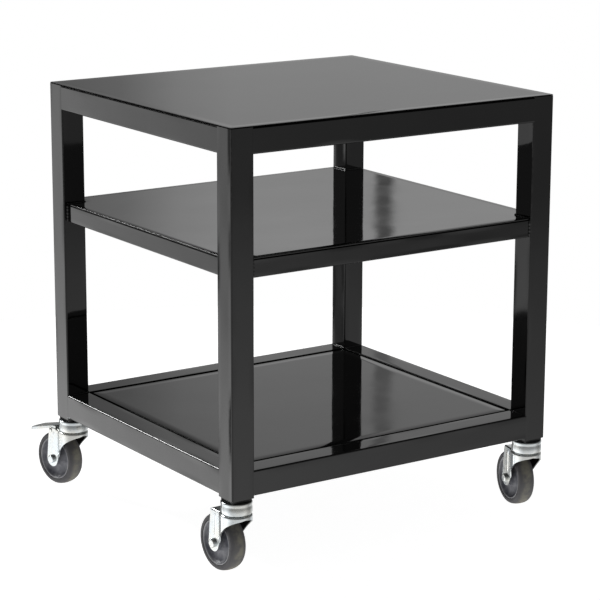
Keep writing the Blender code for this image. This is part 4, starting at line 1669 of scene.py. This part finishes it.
    def build_camera(self) -> None:
        """The camera, aimed by its heading, its tilt down and a slight roll."""
        level = math.cos(self.tilt)
        ahead = Vector((math.sin(self.heading) * level, math.cos(self.heading) * level, -math.sin(self.tilt)))
        right = Vector((math.cos(self.heading), -math.sin(self.heading), 0.0))
        up = right.cross(ahead)
        turned_right = right * math.cos(self.roll) + up * math.sin(self.roll)
        turned_up = up * math.cos(self.roll) - right * math.sin(self.roll)
        lens = bpy.data.cameras.new("camera")
        lens.lens = self.lens
        lens.sensor_width = self.sensor
        camera = bpy.data.objects.new("camera", lens)
        pose = Matrix((turned_right, turned_up, -ahead)).transposed().to_4x4()
        pose.translation = Vector(self.camera_place)
        camera.matrix_world = pose
        bpy.context.scene.collection.objects.link(camera)
        bpy.context.scene.camera = camera


# ---------------------------------------------------------------------------------------------------
# The whole cart.


CORNERS = ("front_left", "front_right", "rear_left", "rear_right")


@dataclass
class Cart:
    """The cart: its frame of bars, its sheets, its welds and its four casters."""

    paint: bpy.types.Material = field(default_factory=lambda: GlossPaint().build())
    zinc: bpy.types.Material = field(default_factory=lambda: ZincPlate().build())
    rubber: bpy.types.Material = field(default_factory=lambda: GreyRubber().build())
    # painted shade: the inner face of the fork's wall is dark zinc, standing in for the shade inside the fork
    lining: bpy.types.Material = field(
        default_factory=lambda: ZincPlate(
            name="fork_inside_painted_shade",
            cold=rgb(0.050, 0.052, 0.055),
            straw=rgb(0.085, 0.080, 0.070),
            dark=rgb(0.02, 0.02, 0.02),
            smooth=0.35,
            dull=0.55,
        ).build()
    )
    hub_plastic: bpy.types.Material = field(
        default_factory=lambda: MouldedPlastic(
            "blue_grey_hub_plastic", rgb(0.085, 0.088, 0.108), rgb(0.46, 0.46, 0.475), 0.40
        ).build()
    )
    plug_plastic: bpy.types.Material = field(
        default_factory=lambda: MouldedPlastic(
            "black_plug_plastic", rgb(0.005, 0.005, 0.005), rgb(0.016, 0.016, 0.016), 0.55
        ).build()
    )
    corner_radius: float = 0.0022
    shelf_corner_radius: float = 0.0018

    def build(self) -> None:
        """Builds the cart from the frame to the casters."""
        self.build_bars()
        Sheets(self.paint).build()
        Welds(self.paint).build()
        self.build_casters()

    def build_bars(self) -> None:
        """The four legs and the twelve rails, which run on under the ground welds into the legs."""
        for corner in CORNERS:
            Bar(f"leg_{corner}", Along.Z, self.paint, corner=self.corner_radius).build()
        for level in ("top", "shelf", "bottom"):
            for side, along, inward in (
                ("front", Along.X, 1.0),
                ("back", Along.X, -1.0),
                ("left", Along.Y, 1.0),
                ("right", Along.Y, -1.0),
            ):
                thin = level == "shelf"
                Bar(
                    f"{level}_rail_{side}",
                    along,
                    self.paint,
                    0.0015 if thin else 0.0020,
                    self.shelf_corner_radius if thin else self.corner_radius,
                    0.0004 if thin else self.corner_radius,
                    under_sheet=level != "bottom",
                    groove=inward if level == "bottom" else 0.0,
                ).build()

    def build_casters(self) -> None:
        """One caster at each swivel joint, turned as the wheel's axle says."""
        joints = {joint["name"]: joint for joint in frame["joints"]}
        for corner in CORNERS:
            swivel = joints[f"swivel_{corner}"]
            spin = joints[f"wheel_spin_{corner}"]
            place = Vector(swivel["pos_m"])
            axis = Vector(spin["axis"])
            braked = f"brake_press_{corner}" in joints
            foot = np.array([place.x, place.y, 0.0])
            turn = math.atan2(axis.y, axis.x)
            finishes = (self.zinc, self.rubber, self.lining, self.hub_plastic, self.plug_plastic)
            Caster(corner, foot, turn, braked, *finishes).build()


def main() -> None:
    """Builds the studio and the cart."""
    logging.basicConfig(level=logging.INFO, format="%(message)s")
    Studio().build()
    Cart().build()


if __name__ == "__main__":
    main()
